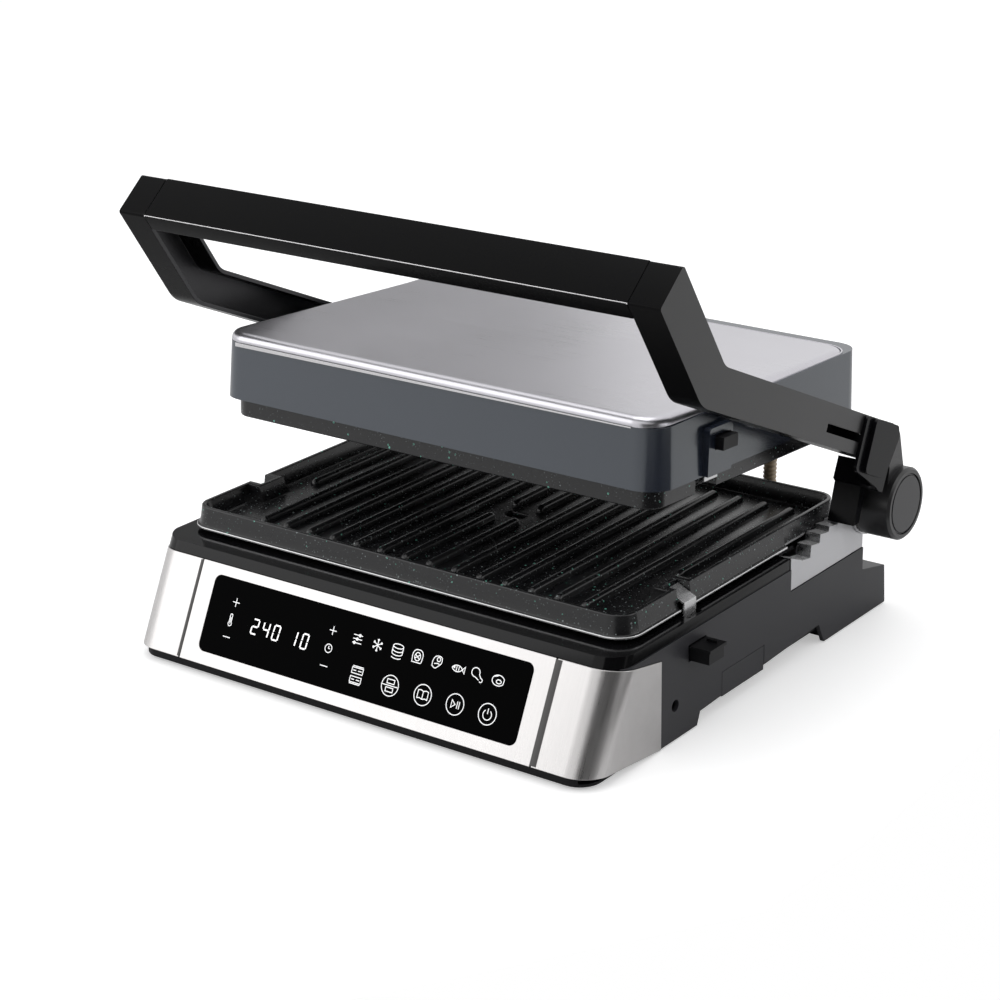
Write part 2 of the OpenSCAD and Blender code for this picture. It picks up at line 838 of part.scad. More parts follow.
module foot_pads() {
    color("#0f0f10")
    for (x = [-half_w + 25, half_w - 25], y = [front_y + 42, rear_y - 30])
        translate([x, y, 0])
            cylinder(r = 9, h = pan_z);
}

// ---- Lower plate ----

module plate_ribs(y0, y1, z_foot, up) {
    top = rib_w * 0.4;
    for (i = [-1:rib_count])
        let (x = (i - (rib_count - 1) / 2) * rib_pitch, short = i < 0 || i >= rib_count)
        let (from = short ? short_rib_y0 - rib_y0 + y0 : y0)
        let (split = i == rib_count / 2 || i == rib_count / 2 - 1)
        for (part = split ? [[from, break_y0 - rib_y0 + y0], [break_y1 - rib_y0 + y0, y1]]
            : [[from, y1]])
            intersection() {
                along([[x - rib_w / 2, z_foot - up * 0.5], [x - rib_w / 2, z_foot],
                    [x - top / 2, z_foot + up * rib_h], [x + top / 2, z_foot + up * rib_h],
                    [x + rib_w / 2, z_foot], [x + rib_w / 2, z_foot - up * 0.5]],
                    part[0], part[1]);
                across([[part[0], z_foot - up], [part[0], z_foot],
                    [part[0] + 1.5, z_foot + up * rib_h * 0.7],
                    [part[0] + 4, z_foot + up * (rib_h + 0.01)],
                    [part[1] - 4, z_foot + up * (rib_h + 0.01)],
                    [part[1] - 1.5, z_foot + up * rib_h * 0.7], [part[1], z_foot],
                    [part[1], z_foot - up]], x - rib_w, x + rib_w);
            }
}

module lower_plate() {
    color("#26282b")
    difference() {
        union() {
            difference() {
                intersection() {
                    translate([0, plate_y, 0])
                        flared(plate_w, plate_d, 12, skirt_z, rim_z, flare);
                    union() {
                        box(-plate_w, plate_w, front_y, rack_y0, 0, 100);
                        slab(plate_w + 0.2, plate_d, 12, 0, 100, plate_y);
                    }
                }
                translate([0, plate_y, 0])
                    flared(plate_w - 2 * rim_w, plate_d - 2 * rim_w, 8, floor_z, rim_z + 0.1, -3.5);
            }
            both_sides()
                box(boss_x - 9, boss_x + 3, notch_y - notch_w / 2 - 4.5, notch_y + notch_w / 2 + 4.5,
                    skirt_z, rim_z - 0.8);
            plate_ribs(rib_y0, rib_y1, floor_z, 1);
        }
        both_sides() {
            box(boss_x, plate_w, notch_y - notch_w / 2, notch_y + notch_w / 2, skirt_z - 1, rim_z + 1);
            box(boss_x - 6, boss_x - 3, notch_y - notch_w / 2, notch_y + notch_w / 2, rim_z - 3, rim_z);
        }
        translate([0, (break_y0 + break_y1) / 2, skirt_z - 1])
            cylinder(r = drain_d / 2, h = 12);
    }
}

// ---- Arms and handle ----

function arm_outline() = [[low_tip[0], low_tip[1], 2], [low_bend[0], low_bend[1], 22],
    [-24.5, arm_b0, 3], [-20, 2, 1], [-3, 2, 1], [-6.4, 22.9, 1], [-20.5, 40.4, 5],
    [-26.5, arm_b1, 5], [high_bend[0], high_bend[1], 14], [high_tip[0], high_tip[1], 2]];

// The hollow of the channel stops short of the closed end under the bar
function arm_hollow() =
    let (o = inset(arm_outline(), arm_wall), cut = (bar_t - arm_wall + 1.5) * limb_dir)
    concat([[o[0][0] - cut[0], o[0][1] - cut[1], 1]], [o[1]],
        [[-36, arm_b0 + arm_wall, 3], [-32, arm_b1 - arm_wall, 3]], [o[8]],
        [[o[9][0] - cut[0], o[9][1] - cut[1], 1]]);

module arm(with_slot) {
    difference() {
        union() {
            difference() {
                across(rounded(arm_outline()), arm_x0, arm_x1);
                across(rounded(arm_hollow()), arm_x0 - 1, arm_x1 - arm_wall);
                rod_x(hub_r + 2, arm_x0 - 1, hub_x0, 0, 0);
            }
            rod_x(hub_r, hub_x0, hub_x1 - 1.5, 0, 0);
            translate([hub_x1 - 1.5, 0, 0])
                rotate([0, 90, 0])
                    cylinder(r1 = hub_r, r2 = hub_r - 1.5, h = 1.5);
            rod_x(lid_pin_r + 3.4, arm_x0, arm_x1 - 1, pivot_a, pivot_b);
        }
        rod_x(pin_r + run, hub_x0 - 3, hub_x0 + 5, 0, 0);
        rod_x(button_r + 0.3, hub_x0 + 4, hub_x1 + 1, 0, 0);
        rod_x(lid_pin_r + run, arm_x0 - 1, arm_x1 - arm_wall, pivot_a, pivot_b);
        // seat of the bar's core in the closed end
        translate([0, low_tip[0], low_tip[1]])
            rotate([end_lean - limb_angle, 0, 0])
                box(arm_x0 - 1, arm_x0 + 12, core_y - core_t / 2 - touch, core_y + core_t / 2 + touch,
                    core_z0 - touch, core_z1 + touch);
        if (with_slot)
            across([[slot_a0, slot_b - slot_h / 2], [slot_a1, slot_b - slot_h / 2],
                [slot_a1, slot_b + slot_h / 2], [slot_a0, slot_b + slot_h / 2]],
                arm_x0 - 1, arm_x1 + 1);
    }
}

module right_arm() {
    color("#2e2f31")
        on_arm()
            arm(true);
}

module left_arm() {
    color("#2e2f31")
        mirror([1, 0, 0])
            on_arm()
                arm(false);
}

// Moves its children to the lower front edge of the arms' ends; y runs down the limb
module on_limb(lean = 0) {
    on_arm()
        translate([0, low_tip[0], low_tip[1]])
            rotate([lean - limb_angle, 0, 0])
                children();
}

// Section of the bar between depths y0 and y1 below its front face and heights z0 and z1
function bar_section(y0, y1, z0, z1) = [for (p = [[y0, z0], [y1, z0], [y1, z1], [y0, z1]])
    [p[0] - p[1] * tan(end_lean), p[1]]];

module handle_bar() {
    x = arm_x0 - 0.4;
    color("#151516")
    on_limb()
        difference() {
            across(rounded([for (p = bar_section(0, bar_t, 0, bar_h)) [p[0], p[1], 1.2]]), -x, x);
            across(bar_section(2.4, bar_t + 1, 2.4, bar_h - 2.4), -x - 1, x + 1);
        }
}

module handle_underside() {
    x = arm_x0 - 0.6;
    color("#151516")
    on_limb()
        across(bar_section(bar_t - 2.2, bar_t, 2.6, bar_h - 2.6), -x, x);
}

module handle_core() {
    color("#9b9da0")
    on_limb(end_lean)
        box(-arm_x0 - 10, arm_x0 + 10, core_y - core_t / 2, core_y + core_t / 2, core_z0, core_z1);
}

module handle_screws() {
    color("#8d8f92")
    on_limb(end_lean)
        for (x = [-1, 1], z = [-5, 5])
            translate([x * (arm_x0 - 12), core_y + core_t / 2, (core_z0 + core_z1) / 2 + z])
                rotate([-90, 0, 0])
                    cylinder(r = 2.6, h = 2);
}

module left_hub_cap() {
    color("#111113")
    mirror([1, 0, 0])
        on_arm() {
            rod_x(button_r, hub_x1 - 6, hub_x1 - 1, 0, 0);
            rod_x(button_r - 1, hub_x1 - 1, hub_x1, 0, 0);
            rod_x(8, hub_x0 + 4.3, hub_x1 - 6, 0, 0);
        }
}

module lock_discs() {
    color("#b4b6b9")
    both_sides()
        on_arm()
            difference() {
                rod_x(hub_r + 1, bracket_x1 + touch, hub_x0 - touch, 0, 0);
                rod_x(pin_r + run, bracket_x1, hub_x0, 0, 0);
                for (t = [0:30:330])
                    rotate([t, 0, 0])
                        rod_x(1.6, bracket_x1, hub_x0, 0, 16);
            }
}

// Wire spring that fills the hollow between the hub's floor and the push button's face
module push_spring() {
    turns = 7;
    n = 12;
    r = 12;
    wire = 0.5;
    length = hub_x1 - 3 - spring_x0 - 2 * wire - 2 * touch;
    pts = [for (i = [0:turns * n]) [spring_x0 + wire + touch + length * i / (turns * n),
        r * cos(i * 360 / n), r * sin(i * 360 / n)]];
    color("#a9abad")
    on_arm()
        polyhedron(points = [for (i = [0:len(pts) - 1], s = [0:5])
            let (t = i * 360 / n, c = cos(s * 60) * wire, d = sin(s * 60) * wire)
            pts[i] + [c, d * cos(t), d * sin(t)]],
            faces = concat([[0, 1, 2, 3, 4, 5]],
                [for (i = [0:len(pts) - 2], s = [0:5])
                    [i * 6 + s, i * 6 + 6 + s, i * 6 + 6 + (s + 1) % 6, i * 6 + (s + 1) % 6]],
                [[for (s = [5:-1:0]) (len(pts) - 1) * 6 + s]]));
}

module push_button() {
    color("#141416")
    on_arm()
        difference() {
            union() {
                rod_x(button_r, hub_x1 - 9, hub_x1 - 0.8, 0, 0);
                rod_x(button_r - 1, hub_x1 - 1, hub_x1, 0, 0);
            }
            rod_x(button_r - 3, hub_x1 - 10, hub_x1 - 3, 0, 0);
        }
}

// ---- Height slider ----

module height_slider() {
    guide_mid = (guide_a0 + guide_a1) / 2;
    color("#121214")
    difference() {
        on_arm() {
            across(rounded([[guide_a0 - 1, 11, 4], [guide_a1 + 1.5, 3, 3], [guide_a1 + 2.5, 38, 4],
                [guide_a1 - 4, arm_b1, 4], [guide_a0 - 1, arm_b1 - 0.5, 3]]), arm_x1 + 0.4, slider_x1);
            across(rounded([[guide_a0 + 7, 11, 4], [guide_a1 - 5, 11, 4], [guide_a1 + 2.5, 38, 4],
                [guide_a1 - 2, arm_b1 - 0.6, 3], [guide_a0 + 7, arm_b1 - 0.8, 3]]),
                slider_x1 - 0.1, slider_x1 + 2.5);
            across([[guide_a0, slot_b - slot_h / 2 + 0.25], [guide_a1, slot_b - slot_h / 2 + 0.25],
                [guide_a1, slot_b + slot_h / 2 - 0.25], [guide_a0, slot_b + slot_h / 2 - 0.25]],
                arm_x0 - 0.4, arm_x1 + 0.5);
            across([[guide_a1 - 8.5, arm_b0 - 0.8], [guide_a1 - 8.5, 5], [guide_a1 - 4, 3],
                [guide_a1 + 1.5, 3], [guide_a1 + 1.5, arm_b0 - 0.8]], leg_x0, slider_x1);
            across([[guide_a1 - 5.6, 5], [guide_a1 - 2.4, -24], [guide_a1 - 2.4 + leg_t, -24],
                [guide_a1 + 1.5, 5]], leg_x0, leg_x1);
        }
        box(leg_x0 - 1, leg_x1 + 1, hub_y - 60, hub_y, 50, foot_gap_z);
    }
}

// Plate on the inner side of the arm that keeps the slider in its slot
module slider_keeper() {
    color("#121214")
    on_arm()
        across(rounded([[guide_a0, slot_b - 7, 2], [guide_a1, slot_b - 7, 2],
            [guide_a1, slot_b + 8, 2], [guide_a0, slot_b + 8, 2]]), arm_x0 - 3.4, arm_x0 - 0.5);
}

module slider_screws() {
    color("#8d8f92")
    on_arm()
        for (a = [guide_a0 + 8, guide_a1 - 8])
            rod_x(2.2, arm_x0 - 4.6, arm_x0 - 3.4, a, slot_b);
}

// ---- Lid ----

module lid_pivot_pins() {
    color("#9fa1a4")
    both_sides()
        on_arm() {
            rod_x(lid_pin_r, lid_w / 2 - 11, arm_x1 - arm_wall - touch, pivot_a, pivot_b);
            rod_x(lid_pin_r + 2.4, lid_w / 2 + 0.8, arm_x0 - touch, pivot_a, pivot_b);
        }
}

// Tapered body of the lid below a plane that rises towards the back
module lid_body(shrink, drop) {
    intersection() {
        flared(lid_w - 2 * (shrink + lid_draft), lid_d - 2 * (shrink + lid_draft),
            lid_r - shrink - lid_draft, skirt_foot, skirt_top + 8, lid_draft);
        translate([0, -lid_d / 2, skirt_top - drop])
            rotate([top_rise, 0, 0])
                box(-lid_w, lid_w, -10, lid_d + 20, -80, 0);
    }
}

module lid_skirt() {
    x = lid_w / 2 - lid_wall - 1.4;
    color("#3b3e44")
    on_lid()
        difference() {
            union() {
                difference() {
                    lid_body(0, 0);
                    difference() {
                        lid_body(lid_wall, 2.2);
                        both_sides()
                            rod_x(lid_pin_r + 4, lid_w / 2 - 12, lid_w, 0, 0);
                    }
                    slab(lid_w - 2 * lid_wall, lid_d - 2 * lid_wall, lid_r - lid_wall,
                        skirt_foot - 1, skirt_foot + 2);
                }
                // raised panel of the plate's release
                across(rounded([[latch_y0, skirt_foot, 0.5], [latch_y1, skirt_foot, 0.5],
                    [latch_y1, latch_z, 3], [latch_y0, latch_z, 3]]), x, latch_x);
            }
            both_sides()
                rod_x(lid_pin_r + run, lid_w / 2 - 14, lid_w, 0, 0);
            // room for the clip behind the panel, and the button's window
            box(x - 4, latch_x - latch_t, latch_y0 + latch_t, latch_y1 - latch_t, skirt_foot - 1,
                latch_z - 2);
            box(latch_x - 4, lid_w, lid_button_y0 - 0.5, lid_button_y1 + 0.5, lid_button_z0 - 0.5,
                lid_button_z1 + 0.5);
            translate([conduit[0][0], lid_d / 2 - 6, 8])
                rotate([-90, 0, 0])
                    cylinder(r = 5.1, h = 12);
        }
}

module lid_cover() {
    w = cover_w;
    d = cover_rear - cover_front;
    y = (cover_rear + cover_front) / 2;
    color("#c9cacc")
    on_lid()
        difference() {
            intersection() {
                hull() {
                    slab(w, d, lid_r, skirt_top - 1, cover_top - cover_round, y);
                    slab(w - 2.6, d - 2.6, lid_r - 1.3, cover_top - 1.6, cover_top - 1.5, y);
                    slab(w - 2 * cover_round, d - 2 * cover_round, lid_r - 4, cover_top - 0.1,
                        cover_top, y);
                }
                translate([0, -lid_d / 2, skirt_top + 0.7])
                    rotate([top_rise, 0, 0])
                        box(-lid_w, lid_w, -10, lid_d + 20, 0, 60);
            }
            hull() {
                slab(w - 2 * steel, d - 2 * steel, lid_r - steel, skirt_top - 2,
                    cover_top - cover_round, y);
                slab(w - 2 * cover_round - 2, d - 2 * cover_round - 2, lid_r - 5,
                    cover_top - steel - 0.1, cover_top - steel, y);
            }
        }
}

// Inner panel that carries the heater and reflector of the lid
module lid_frame() {
    color("#1c1c1e")
    on_lid()
        difference() {
            slab(lid_w - 2 * lid_wall - 3, lid_d - 2 * lid_wall - 3, lid_r - lid_wall - 1, -3.6, -1.4);
            both_sides()
                rod_x(lid_pin_r + 5, lid_w / 2 - 20, lid_w, 0, 0);
            box(lid_w / 2 - 14, lid_w, lid_clip_y - 14, lid_clip_y + 14, -10, 10);
            for (x = [-1, 1] * (lid_w / 2 - 61.5), y = [-1, 0, 1] * (lid_d / 2 - 56))
                translate([x, y, -10])
                    cylinder(r = 12, h = 20);
        }
}

module upper_heater() {
    color("#6c6a66")
    on_lid() {
        translate([0, 0, -12])
            heater_tube(well_w - 30, upper_d - 36, 3.3);
        for (x = [-60, 60], y = [-1, 1])
            box(x - 3, x + 3, y * (upper_d - 36) / 2 - 4, y * (upper_d - 36) / 2 + 4, -10, -5.6);
    }
}

module upper_reflector() {
    color("#b9bbbd")
    on_lid()
        difference() {
            slab(upper_w - 16, upper_d - 16, 9, -17, -3.9);
            slab(upper_w - 19, upper_d - 19, 7.5, -18, -5.1);
        }
}

module upper_sensor() {
    color("#a8a49c")
    on_lid()
        translate([34, 0, -5.6]) {
            mirror([0, 0, 1])
                cylinder(r = 7, h = 8);
            mirror([0, 0, 1])
                cylinder(r = 4, h = 17.4);
        }
}

module lid_screws() {
    color("#8d8f92")
    on_lid()
        for (x = [-1, 1] * (lid_w / 2 - 21.5), y = [-1, 1] * (lid_d / 2 - 26))
            translate([x, y, -1.4])
                cylinder(r = 3, h = 2.4);
}

// Outline of the upper plate's clip, in X and Z; x is the middle of its upright part
function lid_clip_outline(x) = [[upper_w / 2 - 6.6, -31], [upper_w / 2 - 7.6, -30.2],
    [x - 0.6, -24.6], [x - 0.6, 0], [x + 0.6, 0], [x + 0.6, -25.4]];

module lid_clip() {
    color("#c9cacc")
    on_lid()
        difference() {
            union() {
                along(lid_clip_outline(lid_clip_x), lid_clip_y - lid_clip_w / 2,
                    lid_clip_y + lid_clip_w / 2);
                translate([lid_clip_x, lid_clip_y + lid_clip_w / 2, -14])
                    rotate([90, 0, 0])
                        cylinder(r = 1.8, h = lid_clip_w);
            }
            translate([lid_clip_x, lid_clip_y + 10, -14])
                rotate([90, 0, 0])
                    cylinder(r = 0.8 + run, h = 20);
        }
}

module lid_catch_left() {
    x = upper_w / 2 + 1.4;
    color("#c9cacc")
    on_lid()
        mirror([1, 0, 0]) {
            along([for (p = lid_clip_outline(x)) [p[0], min(p[1], -14)]],
                lid_clip_y - lid_clip_w / 2, lid_clip_y + lid_clip_w / 2);
            box(upper_w / 2 - 5, x + 0.6, lid_clip_y - 5, lid_clip_y + 5, -15.2, -14);
        }
}

module lid_button() {
    x0 = lid_clip_x + 1;
    color("#101012")
    on_lid() {
        box(x0 + 2.4, lid_w / 2 + 8.5, lid_button_y0, lid_button_y1, lid_button_z0, lid_button_z1);
        box(x0 + 1.1, x0 + 2.5, lid_button_y0 - 2, lid_button_y1 + 0.2, lid_button_z0 - 1.6,
            lid_button_z1 + 1.6);
        box(x0, x0 + 1.2, lid_clip_y - 4, lid_clip_y + 4, -3.1, -1);
    }
}

module conduit_collar_lid() {
    color("#151517")
    on_lid()
        translate([conduit[0][0], lid_d / 2 - 4, 8])
            rotate([-90, 0, 0])
                difference() {
                    cylinder(r = 5, h = 6.5);
                    translate([0, 0, -1])
                        cylinder(r = hose_r + 0.7, h = 12);
                }
}

module conduit_collar_base() {
    color("#151517")
    translate([conduit[0][0], tower_y - 4, conduit[0][2]])
        rotate([-90, 0, 0])
            difference() {
                cylinder(r = 5, h = 6.5);
                translate([0, 0, -1])
                    cylinder(r = hose_r + 0.7, h = 12);
            }
}

// Middle points of the hose's route: out of the tower, up behind the lid, into the lid's rear wall
hose_r = 3.5;
hose_bore = 2.4;
hose_x = half_w - 78;
conduit = concat([for (p = [[-34, 44], [-26, 44], [-19, 47.5], [-15.5, 57], [-15, 75], [-14, 95],
    [-12, 115], [-9.5, 134], [-8.7, 149]])
    [hose_x, rear_y + p[0], p[1] < 50 ? p[1] : 50 + (p[1] - 50) * (lid_mid[1] - 50) / 112.026]],
    [for (p = [[lid_d / 2 + 9.82, 4.05], [lid_d / 2 + 2.97, 7.95], [lid_d / 2 - 4.05, 8.03]])
    [hose_x, lid_mid[0] + p[0] * cos(lid_lean) + p[1] * sin(lid_lean),
        lid_mid[1] - p[0] * sin(lid_lean) + p[1] * cos(lid_lean)]]);
hose_ribs = 52;

// Catmull-Rom curve through the route's points, u from 0 to 1
function route(u) =
    let (m = len(conduit) - 1, s = min(floor(u * m), m - 1), t = u * m - s)
    let (p0 = conduit[max(s - 1, 0)], p1 = conduit[s], p2 = conduit[s + 1])
    let (p3 = conduit[min(s + 2, m)])
    0.5 * (2 * p1 + (p2 - p0) * t + (2 * p0 - 5 * p1 + 4 * p2 - p3) * t * t
        + (3 * p1 - p0 - 3 * p2 + p3) * t * t * t);

module wiring_conduit() {
    rings = 2 * hose_ribs;
    sides = 8;
    at = [for (i = [0:rings]) route(i / rings)];
    dir = [for (i = [0:rings]) unit(at[min(i + 1, rings)] - at[max(i - 1, 0)])];
    // X stays square to the route, so it and its cross product with the route frame each ring
    function ring(i, r) = [for (s = [0:sides - 1])
        let (c = cos(s * 45), d = -sin(s * 45), n = cross(dir[i], [1, 0, 0]))
        at[i] + r * (c * [1, 0, 0] + d * n)];
    outer = [for (i = [0:rings]) each ring(i, hose_r + (i % 2 == 0 ? -0.35 : 0.35))];
    inner = [for (i = [0:rings]) each ring(i, hose_bore)];
    off = len(outer);
    color("#5a4632")
        polyhedron(points = concat(outer, inner), faces = concat(
            [for (i = [0:rings - 1], s = [0:sides - 1]) [i * sides + s, i * sides + (s + 1) % sides,
                (i + 1) * sides + (s + 1) % sides, (i + 1) * sides + s]],
            [for (i = [0:rings - 1], s = [0:sides - 1]) [off + i * sides + s,
                off + (i + 1) * sides + s, off + (i + 1) * sides + (s + 1) % sides,
                off + i * sides + (s + 1) % sides]],
            [for (s = [0:sides - 1]) [s, off + s, off + (s + 1) % sides, (s + 1) % sides]],
            [for (s = [0:sides - 1]) [rings * sides + s, rings * sides + (s + 1) % sides,
                off + rings * sides + (s + 1) % sides, off + rings * sides + s]]));
}

// ---- Upper plate ----

module upper_plate() {
    h = plate_foot + 6;
    color("#26282b")
    on_lid()
        difference() {
            union() {
                difference() {
                    slab(upper_w, upper_d, 12, plate_foot, plate_foot + upper_h);
                    slab(upper_w - 12, upper_d - 12, 8, plate_foot - 1, h);
                    slab(upper_w - 8, upper_d - 8, 10, h + plate_t, 0);
                }
                translate([0, -(rib_y0 + rib_y1) / 2, 0])
                    plate_ribs(rib_y0 + 6, rib_y1 - 6, h, -1);
                both_sides()
                    box(upper_w / 2 - 16, upper_w / 2 - 3, lid_notch_y - lid_notch_w / 2 - 4,
                        lid_notch_y + lid_notch_w / 2 + 4, plate_foot + 0.8, h + plate_t);
            }
            both_sides()
                box(upper_w / 2 - 8, upper_w, lid_notch_y - lid_notch_w / 2,
                    lid_notch_y + lid_notch_w / 2, plate_foot - 1, 0);
        }
}

base_housing();
base_pan();
top_deck();
front_frame();
front_fascia();
corner_trim_left();
corner_trim_right();
touch_panel();
panel_board();
power_board();
lower_heater();
lower_reflector();
lower_sensor();
plate_catch_left();
hinge_bracket_right();
hinge_bracket_left();
hinge_pins();
bracket_screws();
base_screws();
cord_gland();
foot_pads();
wiring_conduit();
conduit_collar_base();
drip_tray();
lower_plate();
plate_button();
plate_clip();
lock_discs();
right_arm();
left_arm();
handle_bar();
handle_underside();
handle_core();
handle_screws();
left_hub_cap();
push_spring();
push_button();
height_slider();
slider_keeper();
slider_screws();
lid_pivot_pins();
lid_skirt();
lid_cover();
lid_frame();
upper_heater();
upper_reflector();
upper_sensor();
lid_screws();
lid_catch_left();
conduit_collar_lid();
lid_button();
lid_clip();
upper_plate();
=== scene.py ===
"""Electric indoor grill with a hinged lid: visible surfaces and finishes on the CAD frame."""

import json
import math

import bmesh
import bpy
import numpy as np
from mathutils import Matrix, Vector

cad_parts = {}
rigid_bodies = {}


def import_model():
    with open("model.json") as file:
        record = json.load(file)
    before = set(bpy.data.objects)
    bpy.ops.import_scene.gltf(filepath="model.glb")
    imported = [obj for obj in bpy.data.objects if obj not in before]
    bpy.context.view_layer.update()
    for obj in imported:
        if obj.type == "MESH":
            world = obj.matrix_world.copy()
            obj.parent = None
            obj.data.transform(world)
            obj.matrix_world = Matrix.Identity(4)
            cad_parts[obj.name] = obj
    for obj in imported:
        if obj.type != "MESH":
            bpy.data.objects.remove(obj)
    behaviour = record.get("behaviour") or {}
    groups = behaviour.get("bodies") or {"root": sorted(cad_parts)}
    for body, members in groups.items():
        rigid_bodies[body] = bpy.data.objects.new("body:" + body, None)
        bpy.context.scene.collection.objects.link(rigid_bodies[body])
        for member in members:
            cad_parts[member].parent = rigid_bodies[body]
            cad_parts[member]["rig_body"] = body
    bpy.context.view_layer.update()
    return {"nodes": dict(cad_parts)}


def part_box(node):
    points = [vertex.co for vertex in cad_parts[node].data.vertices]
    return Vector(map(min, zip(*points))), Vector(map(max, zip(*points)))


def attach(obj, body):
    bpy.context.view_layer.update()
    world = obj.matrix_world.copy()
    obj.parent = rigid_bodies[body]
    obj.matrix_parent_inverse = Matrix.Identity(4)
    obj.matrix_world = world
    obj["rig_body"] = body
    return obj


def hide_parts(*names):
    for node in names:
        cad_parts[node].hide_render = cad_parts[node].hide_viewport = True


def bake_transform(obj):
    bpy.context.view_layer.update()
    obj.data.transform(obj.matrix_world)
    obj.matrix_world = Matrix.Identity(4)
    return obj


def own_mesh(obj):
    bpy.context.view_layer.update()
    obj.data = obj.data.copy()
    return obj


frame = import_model()

bl_info = {
    "name": "Indoor contact grill",
    "version": (1, 0, 0),
    "blender": (4, 5, 0),
    "location": "3D View > Sidebar > Grill",
    "description": "Builds the visible surfaces of an electric indoor grill with a hinged lid",
    "category": "Add Mesh",
}

MM = 0.001

# Places and angles of the CAD model, in millimetres. Pairs are y and z.
LID_TILT = math.radians(3.45)
LID_AXIS = (29.766, 162.026)
PANEL_TILT = math.radians(64.0)
PANEL_FOOT = (-153.148, 36.402)
FRONT_LEAN = math.radians(26.0)
FRONT_FOOT = (-167.0, 8.0)
HINGE_AXIS = (140.7, 81.0)
LOWER_FLOOR, UPPER_FLOOR = 75.5, -27.1  # the upper one in the lid's frame
FLARE_END = 54.0  # the plate's wall is flared in front of this y
RIB_PITCH, RIB_COUNT = 18.5, 14
CONDUIT_RIBS = 52
SHARP_EDGE = 32.0  # degrees

# The stage, in metres. The camera is the photograph's, fitted to it.
FLOOR_REACH = 14.0
FLOOR_GLOW, WORLD_LIGHT = 0.42, 0.74
LAMPS = (  # name, place, aim, width, height and power
    ("lamp_over", (-0.10, -0.05, 1.75), (0.0, 0.0, 0.1), 1.5, 1.1, 8.0),
    ("lamp_front_left", (-1.5, -1.5, 1.15), (0.0, -0.05, 0.12), 1.5, 1.5, 8.5),
    ("lamp_right", (2.0, 0.75, 0.9), (0.1, 0.0, 0.1), 0.5, 1.3, 4.0))
CAMERA_PLACE = (0.8680, -1.1780, 0.6285)
CAMERA_AHEAD = Vector((-0.5605, 0.7516, -0.3476)).normalized()
CAMERA_SIDE = Vector((0.8016, 0.5978, 0.0)).normalized()
CAMERA_ROLL = math.radians(-0.906)
CAMERA_LENS = 90.97
AS_LAID = Vector((0.0, 0.0, 0.0))  # no direction: surface_piece turns no face


# ---- Settings ----


def size_of(node, axis):
    """Extent of a node of the CAD model along one axis, in metres."""
    low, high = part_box(node)
    return high[axis] - low[axis]


def length_setting(name, description, default, low, high):
    """A setting that holds a length."""
    return bpy.props.FloatProperty(name=name, description=description, default=default,
                                   min=low, max=high, unit="LENGTH")


def colour_setting(name, description, default):
    """A setting that holds a colour."""
    return bpy.props.FloatVectorProperty(name=name, description=description, default=default,
                                         subtype="COLOR", size=3, min=0, max=1)


class GrillSizes(bpy.types.PropertyGroup):
    """Sizes of the details that the surfaces add to the CAD model."""

    plate_width: length_setting(
        "Plate width", "Width of the lower plate over its flared foot",
        size_of("lower_plate", 0), 0.3, 0.35)
    rib_height: length_setting(
        "Rib height", "Height of the ribs over the floor of a plate", 0.0042, 0.002, 0.0044)
    rib_foot: length_setting(
        "Rib foot", "Width of a rib where it meets the floor", 0.0054, 0.004, 0.007)
    cover_roll: length_setting(
        "Cover edge", "Radius of the rolled edge of the steel cover", 0.005, 0.003, 0.005)
    cover_crown: length_setting(
        "Cover crown", "Rise of the cover's middle over its edge", 0.0005, 0.0, 0.001)
    mark_line: length_setting(
        "Line of the marks", "Width of the lines of the marks on the glass",
        0.00055, 0.0003, 0.001)


class GrillColours(bpy.types.PropertyGroup):
    """Colours of the finishes and strength of the light."""

    housing: colour_setting(
        "Housing", "Moulded side walls and rear block", (0.026, 0.026, 0.030))
    arm: colour_setting("Arms", "Satin plastic of the arms", (0.020, 0.020, 0.021))
    bar: colour_setting("Handle bar", "Satin black of the handle bar", (0.0035, 0.0035, 0.0038))
    lid: colour_setting(
        "Lid skirt", "Blue grey plastic of the lid's skirt", (0.018, 0.023, 0.038))
    steel: colour_setting("Front", "Brushed steel of the front", (0.66, 0.645, 0.64))
    cover: colour_setting("Cover", "Brushed steel of the lid's cover", (0.655, 0.645, 0.685))
    coating: colour_setting(
        "Plate coating", "Ground colour of the speckled coating", (0.009, 0.009, 0.010))
    speckle: colour_setting(
        "Speckle", "Colour of the brighter specks in the coating", (0.16, 0.52, 0.40))
    hose: colour_setting("Conduit", "Ribbed hose between base and lid", (0.38, 0.29, 0.19))
    display: colour_setting("Display", "Marks and digits behind the glass", (0.9, 0.9, 0.9))
    light_level: bpy.props.FloatProperty(
        name="Light level", description="Strength of the studio lamps",
        default=1.0, min=0.2, max=2.0, subtype="FACTOR")


# ---- Surfaces ----


def sheet(points, wrapped=True):
    """Vertices and quads of a surface given as a grid of points, rows by columns. Wrapping joins
    the last column to the first."""
    rows, columns = points.shape[:2]
    index = np.arange(rows * columns).reshape(rows, columns)
    if wrapped:
        index = np.hstack([index, index[:, :1]])
    quads = np.stack([index[:-1, :-1], index[:-1, 1:], index[1:, 1:], index[1:, :-1]], axis=-1)
    return points.reshape(-1, 3), quads.reshape(-1, 4)


def joined(parts):
    """One list of vertices and one of faces from several surfaces, each face list moved on by the
    vertices before it."""
    starts = np.cumsum([0] + [len(vertices) for vertices, _ in parts])
    vertices = np.concatenate([part[0] for part in parts])
    faces = [face for start, part in zip(starts, parts) for face in (part[1] + start).tolist()]
    return vertices, faces


def smoothed(mesh, sharp_angle):
    """Smooth shading with sharp edges where two faces meet at more than the given angle."""
    mesh.polygons.foreach_set("use_smooth", np.ones(len(mesh.polygons), dtype=bool))
    mesh.set_sharp_from_angle(angle=math.radians(sharp_angle))


